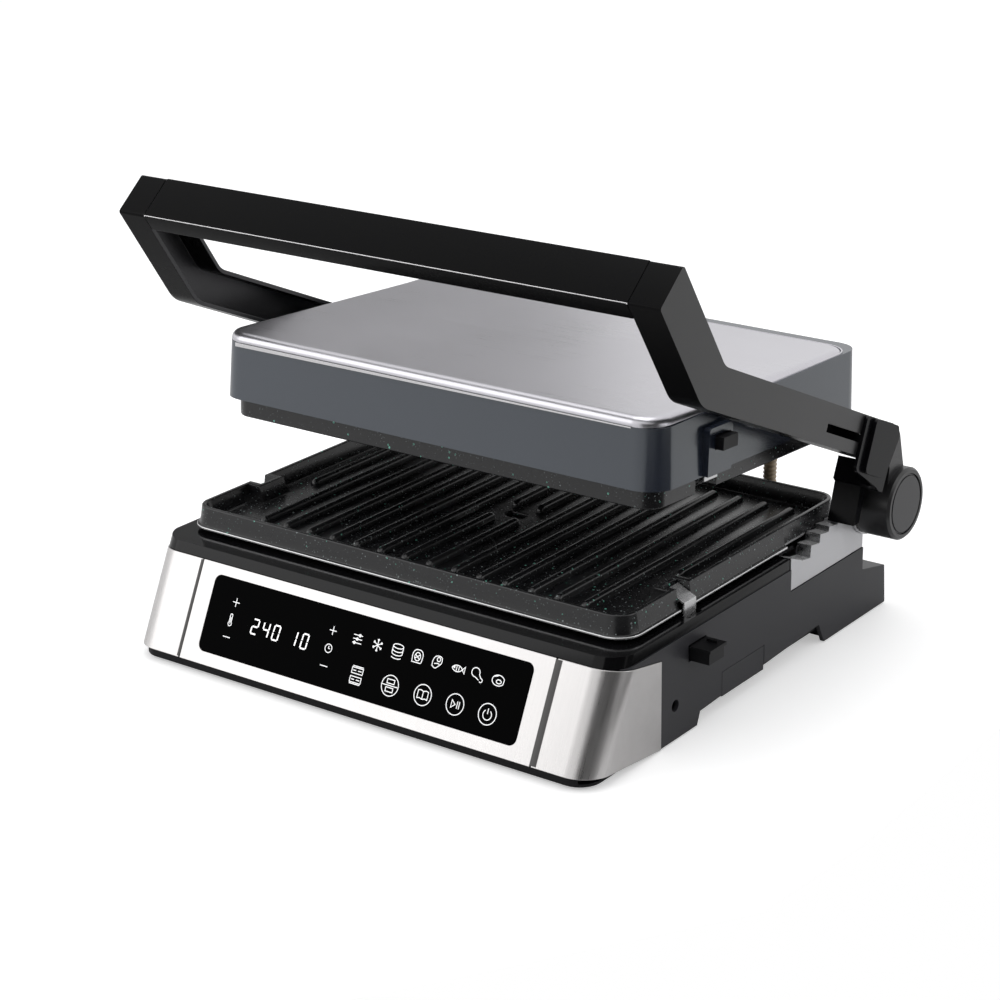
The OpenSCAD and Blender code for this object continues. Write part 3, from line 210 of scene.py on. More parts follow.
def dress(piece, finish, body=None, nodes=()):
    """Gives a piece its material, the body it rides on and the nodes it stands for."""
    piece.data.materials.clear()
    piece.data.materials.append(finish)
    if body:
        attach(piece, body)
    if nodes:
        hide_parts(*nodes)
    return piece


def surface_piece(name, parts, sharp_angle=50.0, weld=1e-6, facing=None):
    """A mesh object made of surfaces in metres. Doubled points along seams and poles are merged.
    Normals point out of each closed shell, or towards one direction where that is given, or, with
    AS_LAID, stay as the grid gives them."""
    vertices, faces = joined(parts)
    mesh = bpy.data.meshes.new(name)
    mesh.from_pydata(vertices.tolist(), [], faces)
    work = bmesh.new()
    work.from_mesh(mesh)
    bmesh.ops.remove_doubles(work, verts=work.verts, dist=weld)
    bmesh.ops.dissolve_degenerate(work, edges=work.edges, dist=1e-7)
    if facing is None:
        bmesh.ops.recalc_face_normals(work, faces=work.faces)
    else:
        work.normal_update()
        away = [face for face in work.faces if face.normal.dot(facing) < 0]
        bmesh.ops.reverse_faces(work, faces=away)
    work.to_mesh(mesh)
    work.free()
    smoothed(mesh, sharp_angle)
    piece = bpy.data.objects.new(name, mesh)
    bpy.context.scene.collection.objects.link(piece)
    return piece


def even_shading(piece):
    """Weighs the normals by face area, so that a wide face next to a small round stays flat."""
    weighted = piece.modifiers.new("Even shading", "WEIGHTED_NORMAL")
    weighted.keep_sharp = True
    weighted.weight = 90
    return piece


def refined_node(node, finish, edge=0.35, segments=2):
    """A copy of a node with its loose triangles merged into flat faces and its edges rounded by
    a bevel of the given width in millimetres."""
    source = frame["nodes"][node]
    mesh = source.data.copy()
    work = bmesh.new()
    work.from_mesh(mesh)
    bmesh.ops.remove_doubles(work, verts=work.verts, dist=2e-6)
    bmesh.ops.dissolve_limit(work, angle_limit=math.radians(0.6), verts=work.verts,
                             edges=work.edges, use_dissolve_boundaries=False)
    work.to_mesh(mesh)
    work.free()
    if mesh.has_custom_normals:
        mesh.attributes.remove(mesh.attributes["custom_normal"])
    smoothed(mesh, SHARP_EDGE)
    piece = bpy.data.objects.new(node + "_shell", mesh)
    bpy.context.scene.collection.objects.link(piece)
    bevel = piece.modifiers.new("Round edges", "BEVEL")
    bevel.width = edge * MM
    bevel.segments = segments
    bevel.limit_method = "ANGLE"
    bevel.angle_limit = math.radians(SHARP_EDGE)
    bevel.miter_outer = "MITER_ARC"
    bevel.harden_normals = True
    return dress(piece, finish, source["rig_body"], (node,))


def refine(*rows):
    """Refines nodes that need nothing more. Each row has a finish, the width and the segments of
    the rounded edge, and the nodes."""
    paint = finishes()
    for finish, edge, segments, *nodes in rows:
        for node in nodes:
            refined_node(node, paint[finish], edge, segments)


def add_finish(piece, finish, chosen):
    """Gives a piece one more material, on the faces that a test on their normals and middles
    chooses."""
    faces = piece.data.polygons
    normals, middles = np.empty(len(faces) * 3), np.empty(len(faces) * 3)
    slots = np.empty(len(faces), np.int32)
    faces.foreach_get("normal", normals)
    faces.foreach_get("center", middles)
    faces.foreach_get("material_index", slots)
    slots[chosen(normals.reshape(-1, 3), middles.reshape(-1, 3))] = len(piece.data.materials)
    piece.data.materials.append(finish)
    faces.foreach_set("material_index", slots)


def finish_node(node, finish):
    """Gives a node of the CAD model its material; its shape stays."""
    data = frame["nodes"][node].data
    data.materials.clear()
    data.materials.append(finish)
    for polygon in data.polygons:
        polygon.material_index = 0


def rounded_outline(points, radii, steps=5):
    """A polyline through the given corners, each corner with a radius replaced by points of the
    quadratic curve between its two tangent points."""
    points = np.asarray(points, float)
    rows = []
    last = len(points) - 1
    for i, (point, radius) in enumerate(zip(points, radii)):
        if radius <= 0 or i in (0, last):
            rows.append(point[None, :])
            continue
        back, ahead = points[i - 1] - point, points[i + 1] - point
        start = point + back / np.linalg.norm(back) * min(radius, np.linalg.norm(back) * 0.49)
        end = point + ahead / np.linalg.norm(ahead) * min(radius, np.linalg.norm(ahead) * 0.49)
        t = np.linspace(0, 1, steps)[:, None]
        rows.append((1 - t) ** 2 * start + 2 * t * (1 - t) * point + t ** 2 * end)
    return np.concatenate(rows)


def on_lid(points):
    """Points in the lid's own frame, in millimetres, turned by the lean of the raised lid about
    its pins and moved there, in metres."""
    points = np.asarray(points, float)
    c, s = math.cos(LID_TILT), math.sin(LID_TILT)
    x, y, z = points[..., 0], points[..., 1], points[..., 2]
    return np.stack([x, y * c + z * s + LID_AXIS[0], -y * s + z * c + LID_AXIS[1]], axis=-1) * MM


def on_panel(points):
    """Points on the glass, in millimetres (right, up the slope, out of the glass), turned by the
    panel's slope and moved to its foot, in metres."""
    points = np.asarray(points, float)
    c, s = math.cos(PANEL_TILT), math.sin(PANEL_TILT)
    u, v, w = points[..., 0], points[..., 1], points[..., 2]
    return np.stack([u, PANEL_FOOT[0] + v * c - w * s, PANEL_FOOT[1] + v * s + w * c],
                    axis=-1) * MM


def plate_ring(width, depth, radius, notch_y, notch_half, notch_in, flare, centre_y):
    """Outline of a plate at one level: a rectangle with quarter circle corners, walked
    anticlockwise, pushed in by notch_in at the two side notches, and pushed out along its
    normals by flare where y is below FLARE_END."""
    half_x, half_y = width / 2 - radius, depth / 2 - radius
    turn = np.linspace(0, math.pi / 2, 9)
    notch = notch_y - centre_y
    side = np.array([-half_y * 0.999, notch - notch_half, notch - notch_half, notch + notch_half,
                     notch + notch_half, FLARE_END - centre_y - 0.3, FLARE_END - centre_y + 0.3,
                     half_y * 0.999])
    inward = np.array([0, 0, 1, 1, 0, 0, 0, 0], float) * notch_in
    ones = np.ones_like(side)

    def corner(sign_x, sign_y, start):
        angle = start + turn
        normal = np.stack([np.cos(angle), np.sin(angle)], axis=-1)
        return np.array([sign_x * half_x, sign_y * half_y]) + radius * normal, normal

    right = (np.stack([ones * width / 2 - inward, side], axis=-1),
             np.stack([ones, ones * 0], axis=-1))
    left = (np.stack([-ones * width / 2 + inward[::-1], side[::-1]], axis=-1),
            np.stack([-ones, ones * 0], axis=-1))
    runs = [right, corner(1, 1, 0.0), corner(-1, 1, math.pi / 2), left,
            corner(-1, -1, math.pi), corner(1, -1, 1.5 * math.pi)]
    points = np.concatenate([run[0] for run in runs])
    normals = np.concatenate([run[1] for run in runs])
    points[:, 1] += centre_y
    out = flare * (points[:, 1] < FLARE_END)
    return points + normals * out[:, None]


def at_height(outline, z):
    """A flat outline at one height, as one row of a grid."""
    return np.column_stack([outline, np.full(len(outline), z)])[None]


def plate_rings(width, depth, notch_y, notch_in, centre_y, levels):
    """Plate outlines stacked along z. Each level has its change of width and depth, the corner's
    radius, the height, half the notch's width and the flare."""
    return np.concatenate([
        at_height(plate_ring(width + change, depth + change, corner, notch_y, half, notch_in,
                             flare, centre_y), height)
        for change, corner, height, half, flare in levels])


def rib_surface(x, y0, y1, foot_z, height, foot_width, up):
    """A cooking rib: a rounded trapezoid section carried along y, its width scaled by a circle arc
    and its height by an ellipse arc over the first and last few millimetres, closed below."""
    half = foot_width / 2
    section = rounded_outline(
        [(-half * 1.12, -0.3), (-half * 1.12, 0.0), (-half * 0.72, height), (half * 0.72, height),
         (half * 1.12, 0.0), (half * 1.12, -0.3)], [0, 0.25, 1.9, 1.9, 0.25, 0], 6)
    ramp = np.array([0.0, 0.12, 0.45, 1.0, 1.9, 3.0, 4.4])
    along = np.concatenate([y0 + ramp, y1 - ramp[::-1]])
    reach = np.minimum(along - y0, y1 - along)
    wide = np.sqrt(np.clip(1 - (1 - np.clip(reach / half, 0, 1)) ** 2, 0, 1))
    tall = np.sqrt(np.clip(1 - (1 - np.clip(reach / 4.4, 0, 1)) ** 2, 0, 1))
    grid = np.empty((len(along), len(section), 3))
    grid[..., 0] = x + section[None, :, 0] * wide[:, None]
    grid[..., 1] = along[:, None]
    lift = np.where(section[:, 1] > 0, section[:, 1], 0)[None, :] * tall[:, None]
    sunk = np.where(section[:, 1] > 0, 0, section[:, 1])[None, :]
    grid[..., 2] = foot_z + up * (lift + sunk)
    return grid


def rib_places(y0, y1, short_y0, break_y0, break_y1):
    """x and ends of each rib: evenly spaced about the middle, one shorter rib outside each end
    of the row, and the two middle ribs broken at the drain."""
    places = []
    for i in range(-1, RIB_COUNT + 1):
        x = (i - (RIB_COUNT - 1) / 2) * RIB_PITCH
        if i < 0 or i >= RIB_COUNT:
            places.append((x, short_y0, y1))
        elif i in (RIB_COUNT // 2 - 1, RIB_COUNT // 2):
            places += [(x, y0, break_y0), (x, break_y1, y1)]
        else:
            places.append((x, y0, y1))
    return places


def plate_piece(name, body, places, floor, up, sizes, placed):
    """A plate: its body and its ribs, closed surfaces that one function places in the frame."""
    height, foot_width = sizes.rib_height / MM, sizes.rib_foot / MM
    ribs = [rib_surface(x, y0, y1, floor, height, foot_width, up) for x, y0, y1 in places]
    parts = [sheet(placed(grid)) for grid in (body, *ribs)]
    return even_shading(surface_piece(name, parts, 55.0))


def cover_surface(width, front, rear, corner, wall_low, roll, top, crown, thickness):
    """The steel cover: rounded rectangles stacked from the lower edge, up the wall, round a
    quarter circle roll, and in to the middle over a crown that falls as one minus x squared times
    one minus y squared; the same rings, moved in by the thickness, close it below. The lower edge
    climbs to the rear along a slope."""
    middle = (front + rear) / 2
    depth = rear - front
    turn = np.linspace(0, math.pi / 2, 9)
    shares = np.array([0.93, 0.8, 0.6, 0.4, 0.2, 0.06])
    insets = np.concatenate([[0.0, 0.0], roll * (1 - np.cos(turn[1:])),
                             roll + np.array([0.6, 4.0]), np.full(6, roll + 4.0)])
    levels = np.concatenate([[wall_low, top - roll], top - roll + roll * np.sin(turn[1:]),
                             np.full(8, top)])
    scales = np.concatenate([np.ones(len(levels) - 6), shares])
    angle = np.linspace(0, 2 * math.pi, 96, endpoint=False)

    def ring(inset, level, scale, lower):
        w, d = width / 2 - inset, depth / 2 - inset
        r = max(corner - inset, 1.2)
        quarter = np.floor(angle / (math.pi / 2) + 1e-9)
        local = (angle - quarter * math.pi / 2) / (math.pi / 2)
        spin = quarter * math.pi / 2 + np.clip((local - 0.15) / 0.7, 0, 1) * math.pi / 2
        sx = np.where((quarter == 0) | (quarter == 3), 1, -1)
        sy = np.where(quarter < 2, 1, -1)
        x = sx * (w - r) + r * np.cos(spin)
        y = sy * (d - r) + r * np.sin(spin)
        lead = np.clip((0.15 - local) / 0.15, 0, 1)
        tail = np.clip((local - 0.85) / 0.15, 0, 1)
        even = (quarter % 2) == 0
        y = np.where(even, y * (1 - lead), y * (1 - tail))
        x = np.where(even, x * (1 - tail), x * (1 - lead))
        x, y = x * scale, y * scale
        z = np.full_like(x, level)
        bulge = (1 - (x / (width / 2)) ** 2) * (1 - (y / (depth / 2)) ** 2)
        z = z + (crown * bulge if level >= top else 0) - lower
        return np.stack([x, y + middle, z], axis=-1)

    outer = np.array([ring(i, z, s, 0.0) for i, z, s in zip(insets, levels, scales)])
    inner = np.array([ring(i + thickness, z, s, thickness if z > wall_low else 0.0)
                      for i, z, s in zip(insets, levels, scales)])
    slope = math.tan(math.radians(1.2))
    grid = np.concatenate([outer[::-1], inner])
    low = grid[..., 2] <= wall_low + 1e-6
    grid[..., 2] = np.where(low, grid[..., 2] + (grid[..., 1] - front) * slope, grid[..., 2])
    return grid


def capped_grid(grid):
    """A surface whose first and last rings are closed with a point at their middle."""
    first = np.repeat(grid[:1].mean(axis=1, keepdims=True), grid.shape[1], axis=1)
    last = np.repeat(grid[-1:].mean(axis=1, keepdims=True), grid.shape[1], axis=1)
    return np.concatenate([first, grid, last])


def route_curve(points, samples):
    """A smooth curve through the points: cubic segments whose tangent at each point is half the
    step between its neighbours, sampled evenly along its length."""
    points = np.asarray(points, float)
    tangents = np.gradient(points, axis=0)
    t = np.linspace(0, 1, 24, endpoint=False)[:, None]
    a, b = 2 * t ** 3 - 3 * t ** 2 + 1, t ** 3 - 2 * t ** 2 + t
    c, d = -2 * t ** 3 + 3 * t ** 2, t ** 3 - t ** 2
    fine = np.concatenate([a * points[i] + b * tangents[i] + c * points[i + 1] + d * tangents[i + 1]
                           for i in range(len(points) - 1)] + [points[-1:]])
    run = np.concatenate([[0], np.cumsum(np.linalg.norm(np.diff(fine, axis=0), axis=1))])
    even = np.linspace(0, run[-1], samples)
    return np.stack([np.interp(even, run, fine[:, k]) for k in range(3)], axis=-1), even


def tube_grid(path, radius, sides):
    """A tube round a path: a circle of the given radii in the plane square to the path, whose
    first direction is the x axis made square to the path."""
    tangent = np.gradient(path, axis=0)
    tangent /= np.linalg.norm(tangent, axis=1, keepdims=True)
    first = np.array([1.0, 0.0, 0.0]) - tangent * tangent[:, :1]
    first /= np.linalg.norm(first, axis=1, keepdims=True)
    second = np.cross(tangent, first)
    angle = np.linspace(0, 2 * math.pi, sides, endpoint=False)
    circle = (np.cos(angle)[None, :, None] * first[:, None, :]
              + np.sin(angle)[None, :, None] * second[:, None, :])
    return path[:, None, :] + circle * np.broadcast_to(radius, (len(path),))[:, None, None]


def ribbon(points, width, closed=False):
    """A flat line on the glass: each point moved half the width to both sides along the mean
    normal of its two neighbours, lengthened where the line bends."""
    points = np.asarray(points, float)
    if closed:
        before, after = np.roll(points, 1, axis=0), np.roll(points, -1, axis=0)
    else:
        before = np.vstack([2 * points[:1] - points[1:2], points[:-1]])
        after = np.vstack([points[1:], 2 * points[-1:] - points[-2:-1]])
    a, b = points - before, after - points
    a /= np.linalg.norm(a, axis=1, keepdims=True)
    b /= np.linalg.norm(b, axis=1, keepdims=True)
    mean = a + b
    mean /= np.linalg.norm(mean, axis=1, keepdims=True) + 1e-12
    normal = np.stack([-mean[:, 1], mean[:, 0]], axis=-1)
    stretch = 1 / np.clip((mean * b).sum(axis=1), 0.5, 1)
    side = normal * (width / 2 * stretch)[:, None]
    return np.stack([points + side, points - side])


def circle_points(u, v, radius_u, radius_v=None, start=0.0, end=360.0, count=28):
    """Points of an ellipse arc about (u, v)."""
    full = abs(end - start) >= 359.9
    angle = np.radians(np.linspace(start, end, count, endpoint=not full))
    return np.stack([u + radius_u * np.cos(angle),
                     v + (radius_v or radius_u) * np.sin(angle)], axis=-1)


def seven_segments(u, v, width, height, lit, lean=0.08):
    """The lit bars of a seven segment digit about (u, v), each bar a short line of its box."""
    w, h, gap = width / 2, height / 2, 0.28
    bars = {"a": ((-w + gap, h), (w - gap, h)), "b": ((w, h - gap), (w, gap)),
            "c": ((w, -gap), (w, -h + gap)), "d": ((-w + gap, -h), (w - gap, -h)),
            "e": ((-w, -gap), (-w, -h + gap)), "f": ((-w, h - gap), (-w, gap)),
            "g": ((-w + gap, 0), (w - gap, 0))}
    return [(False, [(u + a + lean * b, v + b) for a, b in bars[name]]) for name in lit]


def panel_strokes():
    """Lines of the symbols and of the digits on the glass, in millimetres from its middle."""
    line = lambda *points: (False, list(points))
    ring = lambda *args, **more: (True, circle_points(*args, **more))
    arc = lambda *args, **more: (False, circle_points(*args, **more))
    box = lambda u, v, w, h: (True, [(u - w, v - h), (u + w, v - h), (u + w, v + h),
                                     (u - w, v + h)])
    marks = []
    for u, v, half in ((-98.0, 10.1, 2.6), (-22.3, 10.2, 2.6)):
        marks += [line((u - half, v), (u + half, v)), line((u, v - half), (u, v + half))]
    for u, v, half in ((-98.9, -11.4, 2.8), (-22.7, -11.1, 2.8)):
        marks += [line((u - half, v), (u + half, v))]
    # thermometer and clock
    marks += [arc(-99.0, 2.0, 0.8, start=0, end=180, count=9),
              line((-98.2, 2.0), (-98.2, -2.2)), line((-99.8, 2.0), (-99.8, -2.2)),
              arc(-99.0, -3.2, 1.3, start=125, end=415, count=15), line((-99, 0.8), (-99, -3.2))]
    marks += [ring(-22.5, -0.5, 2.5, count=22), line((-22.5, 1.0), (-22.5, -0.5), (-21.3, -0.5))]
    # programme symbols in the upper row
    for k in (-1, 0, 1):
        marks += [line((-6.9, 9.4 + 2.3 * k), (-0.3, 9.4 + 2.3 * k)),
                  ring(-3.6 + 1.5 * (k - 0.2), 9.4 + 2.3 * k, 0.7, count=10)]
    for angle in np.radians(np.arange(0, 180, 60) + 30):
        c, s = 3.7 * math.cos(angle), 3.7 * math.sin(angle)
        marks += [line((11.3 - c, 9.3 - s), (11.3 + c, 9.3 + s))]
        for end in (-1, 1):
            for side in (-0.5, 0.5):
                a = angle + side
                marks += [line((11.3 + end * c * 0.62, 9.3 + end * s * 0.62),
                               (11.3 + end * (c * 0.62 + 1.3 * math.cos(a)),
                                9.3 + end * (s * 0.62 + 1.3 * math.sin(a))))]
    marks += [ring(26.0, 12.0, 3.7, 1.3), arc(26.0, 9.9, 3.7, 1.3, start=180, end=360, count=14),
              arc(26.0, 7.9, 3.7, 1.3, start=180, end=360, count=14),
              line((22.3, 12.0), (22.3, 7.9)), line((29.7, 12.0), (29.7, 7.9)),
              arc(26.0, 5.9, 3.7, 1.2, start=200, end=340, count=10)]
    marks += [(True, rounded_outline([(37.3, 6.0), (43.9, 6.0), (44.4, 11.2), (42.6, 13.4),
                                      (38.6, 13.4), (36.8, 11.2), (37.3, 6.0)],
                                     [0, 1, 1.5, 1.5, 1.5, 1.5, 0], 4)[:-1]),
              ring(40.6, 9.4, 2.0, 2.4, count=18), line((38.9, 8.2), (42.3, 10.8)),
              line((38.9, 10.6), (42.3, 8.0))]
    marks += [(True, rounded_outline([(51.6, 7.0), (54.0, 5.6), (58.2, 9.5), (57.4, 13.2),
                                      (52.8, 13.0), (51.4, 10.0), (51.6, 7.0)],
                                     [0, 1.2, 1.8, 1.8, 1.8, 1.2, 0], 4)[:-1]),
              ring(55.4, 11.2, 1.2, count=12), line((52.8, 8.4), (55.0, 8.9), (56.6, 8.6))]
    marks += [arc(69.0, 6.9, 4.4, 4.2, start=35, end=145, count=14),
              arc(69.0, 11.7, 4.4, 4.2, start=215, end=325, count=14),
              line((72.6, 9.3), (74.3, 11.2), (74.3, 7.4), (72.6, 9.3)),
              ring(66.9, 9.7, 0.45, count=8), line((68.6, 10.6), (68.6, 8.0)),
              line((70.2, 10.4), (70.2, 8.2))]
    marks += [arc(81.9, 10.2, 2.8, 2.6, start=-15, end=275, count=20),
              line((84.6, 9.5), (86.2, 7.4)), line((82.2, 7.6), (84.9, 6.2)),
              arc(86.3, 6.4, 1.1, start=-140, end=90, count=10)]
    marks += [arc(97.8, 9.2, 4.2, 3.0, start=20, end=330, count=22),
              line((101.7, 10.2), (101.4, 7.7)), ring(98.3, 8.6, 1.7, 1.1, count=14),
              line((94.6, 11.0), (97.2, 11.8))]
    # plate symbols and round keys in the lower row
    for v, cut in ((-8.3, 1), (-13.6, -1)):
        marks += [box(1.9, v, 4.0, 1.7), line((-1.2, v), (1.0, v)), line((2.4, v), (5.0, v)),
                  line((-2.0, v + 2.5 * cut), (5.8, v + 2.5 * cut))]
    for u, v in ((26.8, -11.0), (50.5, -10.7), (73.5, -10.5), (96.2, -10.5)):
        marks += [ring(u, v, 6.0, count=40)]
    marks += [line((21.2, -11.0), (32.4, -11.0)), box(26.8, -8.6, 2.6, 1.2),
              box(26.8, -13.4, 2.6, 1.2), line((50.5, -8.6), (50.5, -13.2)),
              line((50.5, -8.6), (48.6, -8.0), (46.9, -8.4), (46.9, -13.0), (48.6, -12.6),
                   (50.5, -13.2)),
              line((50.5, -8.6), (52.4, -8.0), (54.1, -8.4), (54.1, -13.0), (52.4, -12.6),
                   (50.5, -13.2)),
              (True, [(71.0, -8.3), (73.6, -10.5), (71.0, -12.7)]),
              line((75.0, -8.4), (75.0, -12.6)), line((76.4, -8.4), (76.4, -12.6)),
              arc(96.2, -10.9, 2.9, start=125, end=415, count=22),
              line((96.2, -7.2), (96.2, -10.4))]
    shown = []
    for u, lit, width in ((-79.5, "abged", 4.4), (-71.0, "fgbc", 4.4), (-62.9, "abcdef", 4.4),
                          (-48.4, "bc", 2.4), (-40.8, "abcdef", 4.2)):
        shown += seven_segments(u, -0.7, width, 8.8, lit)
    return marks, shown


# ---- Shared effects ----


def effect_group(name, inputs):
    """An empty shader node group with the input Vector and further ones (label, type, default),
    and the outputs Colour, Roughness and Height."""
    tree = bpy.data.node_groups.new(name, "ShaderNodeTree")
    tree.interface.new_socket(name="Vector", in_out="INPUT", socket_type="NodeSocketVector")
    for label, kind, value in inputs:
        socket = tree.interface.new_socket(name=label, in_out="INPUT",
                                           socket_type="NodeSocket" + kind)
        socket.default_value = value
    for label, kind in (("Colour", "Color"), ("Roughness", "Float"), ("Height", "Float")):
        tree.interface.new_socket(name=label, in_out="OUTPUT", socket_type="NodeSocket" + kind)
    return tree, tree.nodes.new("NodeGroupInput").outputs, tree.nodes.new("NodeGroupOutput")


def close_group(tree, outlet, colour, roughness, height):
    """Links the three results to the outputs of a node group."""
    for socket, value in zip(outlet.inputs, (colour, roughness, height)):
        tree.links.new(value, socket)
    return tree


def add_node(tree, kind, settings=None, **inputs):
    """A node with its settings and its inputs, each a value or another node's output. An input is
    named by its label, or by i and its number."""
    node = tree.nodes.new(kind)
    for key, value in (settings or {}).items():
        setattr(node, key, value)
    for key, value in inputs.items():
        numbered = key[0] == "i" and key[1:].isdigit()
        socket = node.inputs[int(key[1:]) if numbered else key.replace("_", " ")]
        if isinstance(value, bpy.types.NodeSocket):
            tree.links.new(value, socket)
        else:
            socket.default_value = value
    return node


def maths(tree, operation, a, b=0.0, clamp=False):
    """Result of one arithmetic operation."""
    return add_node(tree, "ShaderNodeMath", {"operation": operation, "use_clamp": clamp},
                    i0=a, i1=b).outputs[0]


def ranged(tree, value, low, high, to_low=0.0, to_high=1.0):
    """A value mapped from one range to another and held there."""
    return add_node(tree, "ShaderNodeMapRange", {"clamp": True}, Value=value, From_Min=low,
                    From_Max=high, To_Min=to_low, To_Max=to_high).outputs[0]


def mixed(tree, factor, first, second, blend="MIX"):
    """A mix of two colours."""
    node = tree.nodes.new("ShaderNodeMix")
    node.data_type = "RGBA"
    node.blend_type = blend
    for index, value in ((0, factor), (6, first), (7, second)):
        if isinstance(value, bpy.types.NodeSocket):
            tree.links.new(value, node.inputs[index])
        else:
            node.inputs[index].default_value = value
    return node.outputs[2]


def noise(tree, place, scale, detail, roughness=0.5):
    """The value of a noise texture."""
    return add_node(tree, "ShaderNodeTexNoise", Vector=place, Scale=scale, Detail=detail,
                    Roughness=roughness).outputs[0]


def moulded_group():
    """Moulded surface: fine spark grain for the bump, slow changes of gloss as from handling, and
    a slight change of colour."""
    tree, (place, colour, roughness, scale, handling, _), outlet = effect_group(
        "Moulded surface",
        [("Colour", "Color", (0.02, 0.02, 0.02, 1)), ("Roughness", "Float", 0.4),
         ("Grain", "Float", 2600.0), ("Handling", "Float", 0.08)])
    grain = noise(tree, place, scale, 2.0, 0.6)
    cloud = ranged(tree, noise(tree, place, 14.0, 4.0, 0.62), 0.3, 0.7, -0.5, 0.5)
    rough = maths(tree, "ADD", roughness, maths(tree, "MULTIPLY", cloud, handling), True)
    speck = maths(tree, "MULTIPLY", ranged(tree, grain, 0.3, 0.7), 0.10)
    lighter = mixed(tree, 1.0, colour, (1.35, 1.35, 1.35, 1), "MULTIPLY")
    share = maths(tree, "ADD", speck, maths(tree, "MULTIPLY", cloud, 0.2))
    return close_group(tree, outlet, mixed(tree, share, colour, lighter), rough, grain)


def brushed_group():
    """Brushed metal: noise drawn out along one direction gives fine lines, which change colour,
    gloss and height a little."""
    tree, (place, colour, roughness, lines, contrast, _), outlet = effect_group(
        "Brushed lines",
        [("Colour", "Color", (0.6, 0.6, 0.6, 1)), ("Roughness", "Float", 0.3),
         ("Lines", "Vector", (3500, 12, 12)), ("Contrast", "Float", 0.5)])
    drawn = add_node(tree, "ShaderNodeVectorMath", {"operation": "MULTIPLY"}, i0=place,
                     i1=lines).outputs[0]
    both = maths(tree, "ADD", maths(tree, "MULTIPLY", noise(tree, drawn, 1.0, 3.0, 0.7), 0.65),
                 maths(tree, "MULTIPLY", noise(tree, drawn, 0.16, 2.0), 0.35))
    line = ranged(tree, both, 0.35, 0.65)
    dark = mixed(tree, 1.0, colour, (0.86, 0.86, 0.86, 1), "MULTIPLY")
    share = maths(tree, "SUBTRACT", 1.0, maths(tree, "MULTIPLY", line, contrast))
    slow = ranged(tree, noise(tree, place, 9.0, 3.0), 0.3, 0.7, -0.06, 0.02)
    spread = maths(tree, "ADD", maths(tree, "MULTIPLY", line, 0.08), slow)
    return close_group(tree, outlet, mixed(tree, share, colour, dark),
                       maths(tree, "ADD", roughness, spread, True), line)


def speckle_group():
    """Ceramic coating: scattered cells of three sizes whose random value picks plain ground, grey
    specks or coloured specks, over a fine orange peel."""
    tree, (place, colour, speck, roughness, density, _), outlet = effect_group(
        "Speckled coating",
        [("Ground", "Color", (0.012, 0.012, 0.013, 1)), ("Speck", "Color", (0.16, 0.5, 0.4, 1)),
         ("Roughness", "Float", 0.32), ("Density", "Float", 0.45)])
    marks = None
    for scale, size, tone in ((210.0, 0.10, speck), (330.0, 0.16, (0.26, 0.30, 0.30, 1)),
                              (560.0, 0.20, (0.13, 0.16, 0.16, 1))):
        cells = add_node(tree, "ShaderNodeTexVoronoi", {"feature": "F1"}, Vector=place,
                         Scale=scale, Randomness=1.0).outputs
        pick = add_node(tree, "ShaderNodeSeparateColor", Color=cells["Color"]).outputs
        limit = maths(tree, "SUBTRACT", 1.0, maths(tree, "MULTIPLY", density, 0.8))
        radius = maths(tree, "ADD", maths(tree, "MULTIPLY", pick[1], size), 0.05)
        dot = maths(tree, "MULTIPLY", maths(tree, "GREATER_THAN", pick[0], limit),
                    maths(tree, "LESS_THAN", cells["Distance"], radius))
        strength = maths(tree, "MULTIPLY", dot, ranged(tree, pick[2], 0.0, 1.0, 0.35, 1.0))
        colour = mixed(tree, strength, colour, tone)
        marks = strength if marks is None else maths(tree, "MAXIMUM", marks, strength)
    slow = ranged(tree, noise(tree, place, 18.0, 3.0), 0.3, 0.7, -0.05, 0.05)
    rough = maths(tree, "ADD", roughness,
                  maths(tree, "ADD", maths(tree, "MULTIPLY", marks, 0.12), slow))
    height = maths(tree, "ADD", noise(tree, place, 750.0, 2.0),
                   maths(tree, "MULTIPLY", marks, 0.25))
    return close_group(tree, outlet, colour, rough, height)


def shared_group(name):
    """The named node group, built once."""
    makers = {"Moulded surface": moulded_group, "Brushed lines": brushed_group,
              "Speckled coating": speckle_group}
    return bpy.data.node_groups.get(name) or makers[name]()


def finish_material(name, effect, settings, relief, reach, **shader):
    """A material whose colour, gloss and bump come from a shared effect with its own values, while
    the other constants stand on the shader's own sockets."""
    name = "grill_" + name
    if name in bpy.data.materials:
        return bpy.data.materials[name]
    made = bpy.data.materials.new(name)
    made.use_nodes = True
    tree = made.node_tree
    principled = tree.nodes["Principled BSDF"]
    for key, value in shader.items():
        principled.inputs[key.replace("_", " ")].default_value = value
    place = add_node(tree, "ShaderNodeTexCoord")
    effect_node = tree.nodes.new("ShaderNodeGroup")
    effect_node.node_tree = shared_group(effect)
    tree.links.new(place.outputs["Object"], effect_node.inputs["Vector"])
    for key, value in settings.items():
        effect_node.inputs[key].default_value = value
    bump = add_node(tree, "ShaderNodeBump", Height=effect_node.outputs["Height"], Strength=relief,
                    Distance=reach)
    tree.links.new(effect_node.outputs["Colour"], principled.inputs["Base Color"])
    tree.links.new(effect_node.outputs["Roughness"], principled.inputs["Roughness"])
    tree.links.new(bump.outputs["Normal"], principled.inputs["Normal"])
    return made


def opaque(colour):
    """A colour of three values with its fourth set to one."""
    return (*colour[:3], 1.0)


def moulded(name, colour, roughness, relief=0.25, grain=2600.0, handling=0.08, mirror=0.5,
            **shader):
    """A moulded plastic or rubber finish. Mirror is the shader's level of mirrored light."""
    return finish_material(name, "Moulded surface",
                           {"Colour": opaque(colour), "Roughness": roughness, "Grain": grain,
                            "Handling": handling}, relief, 0.00006,
                           Specular_IOR_Level=mirror, **shader)


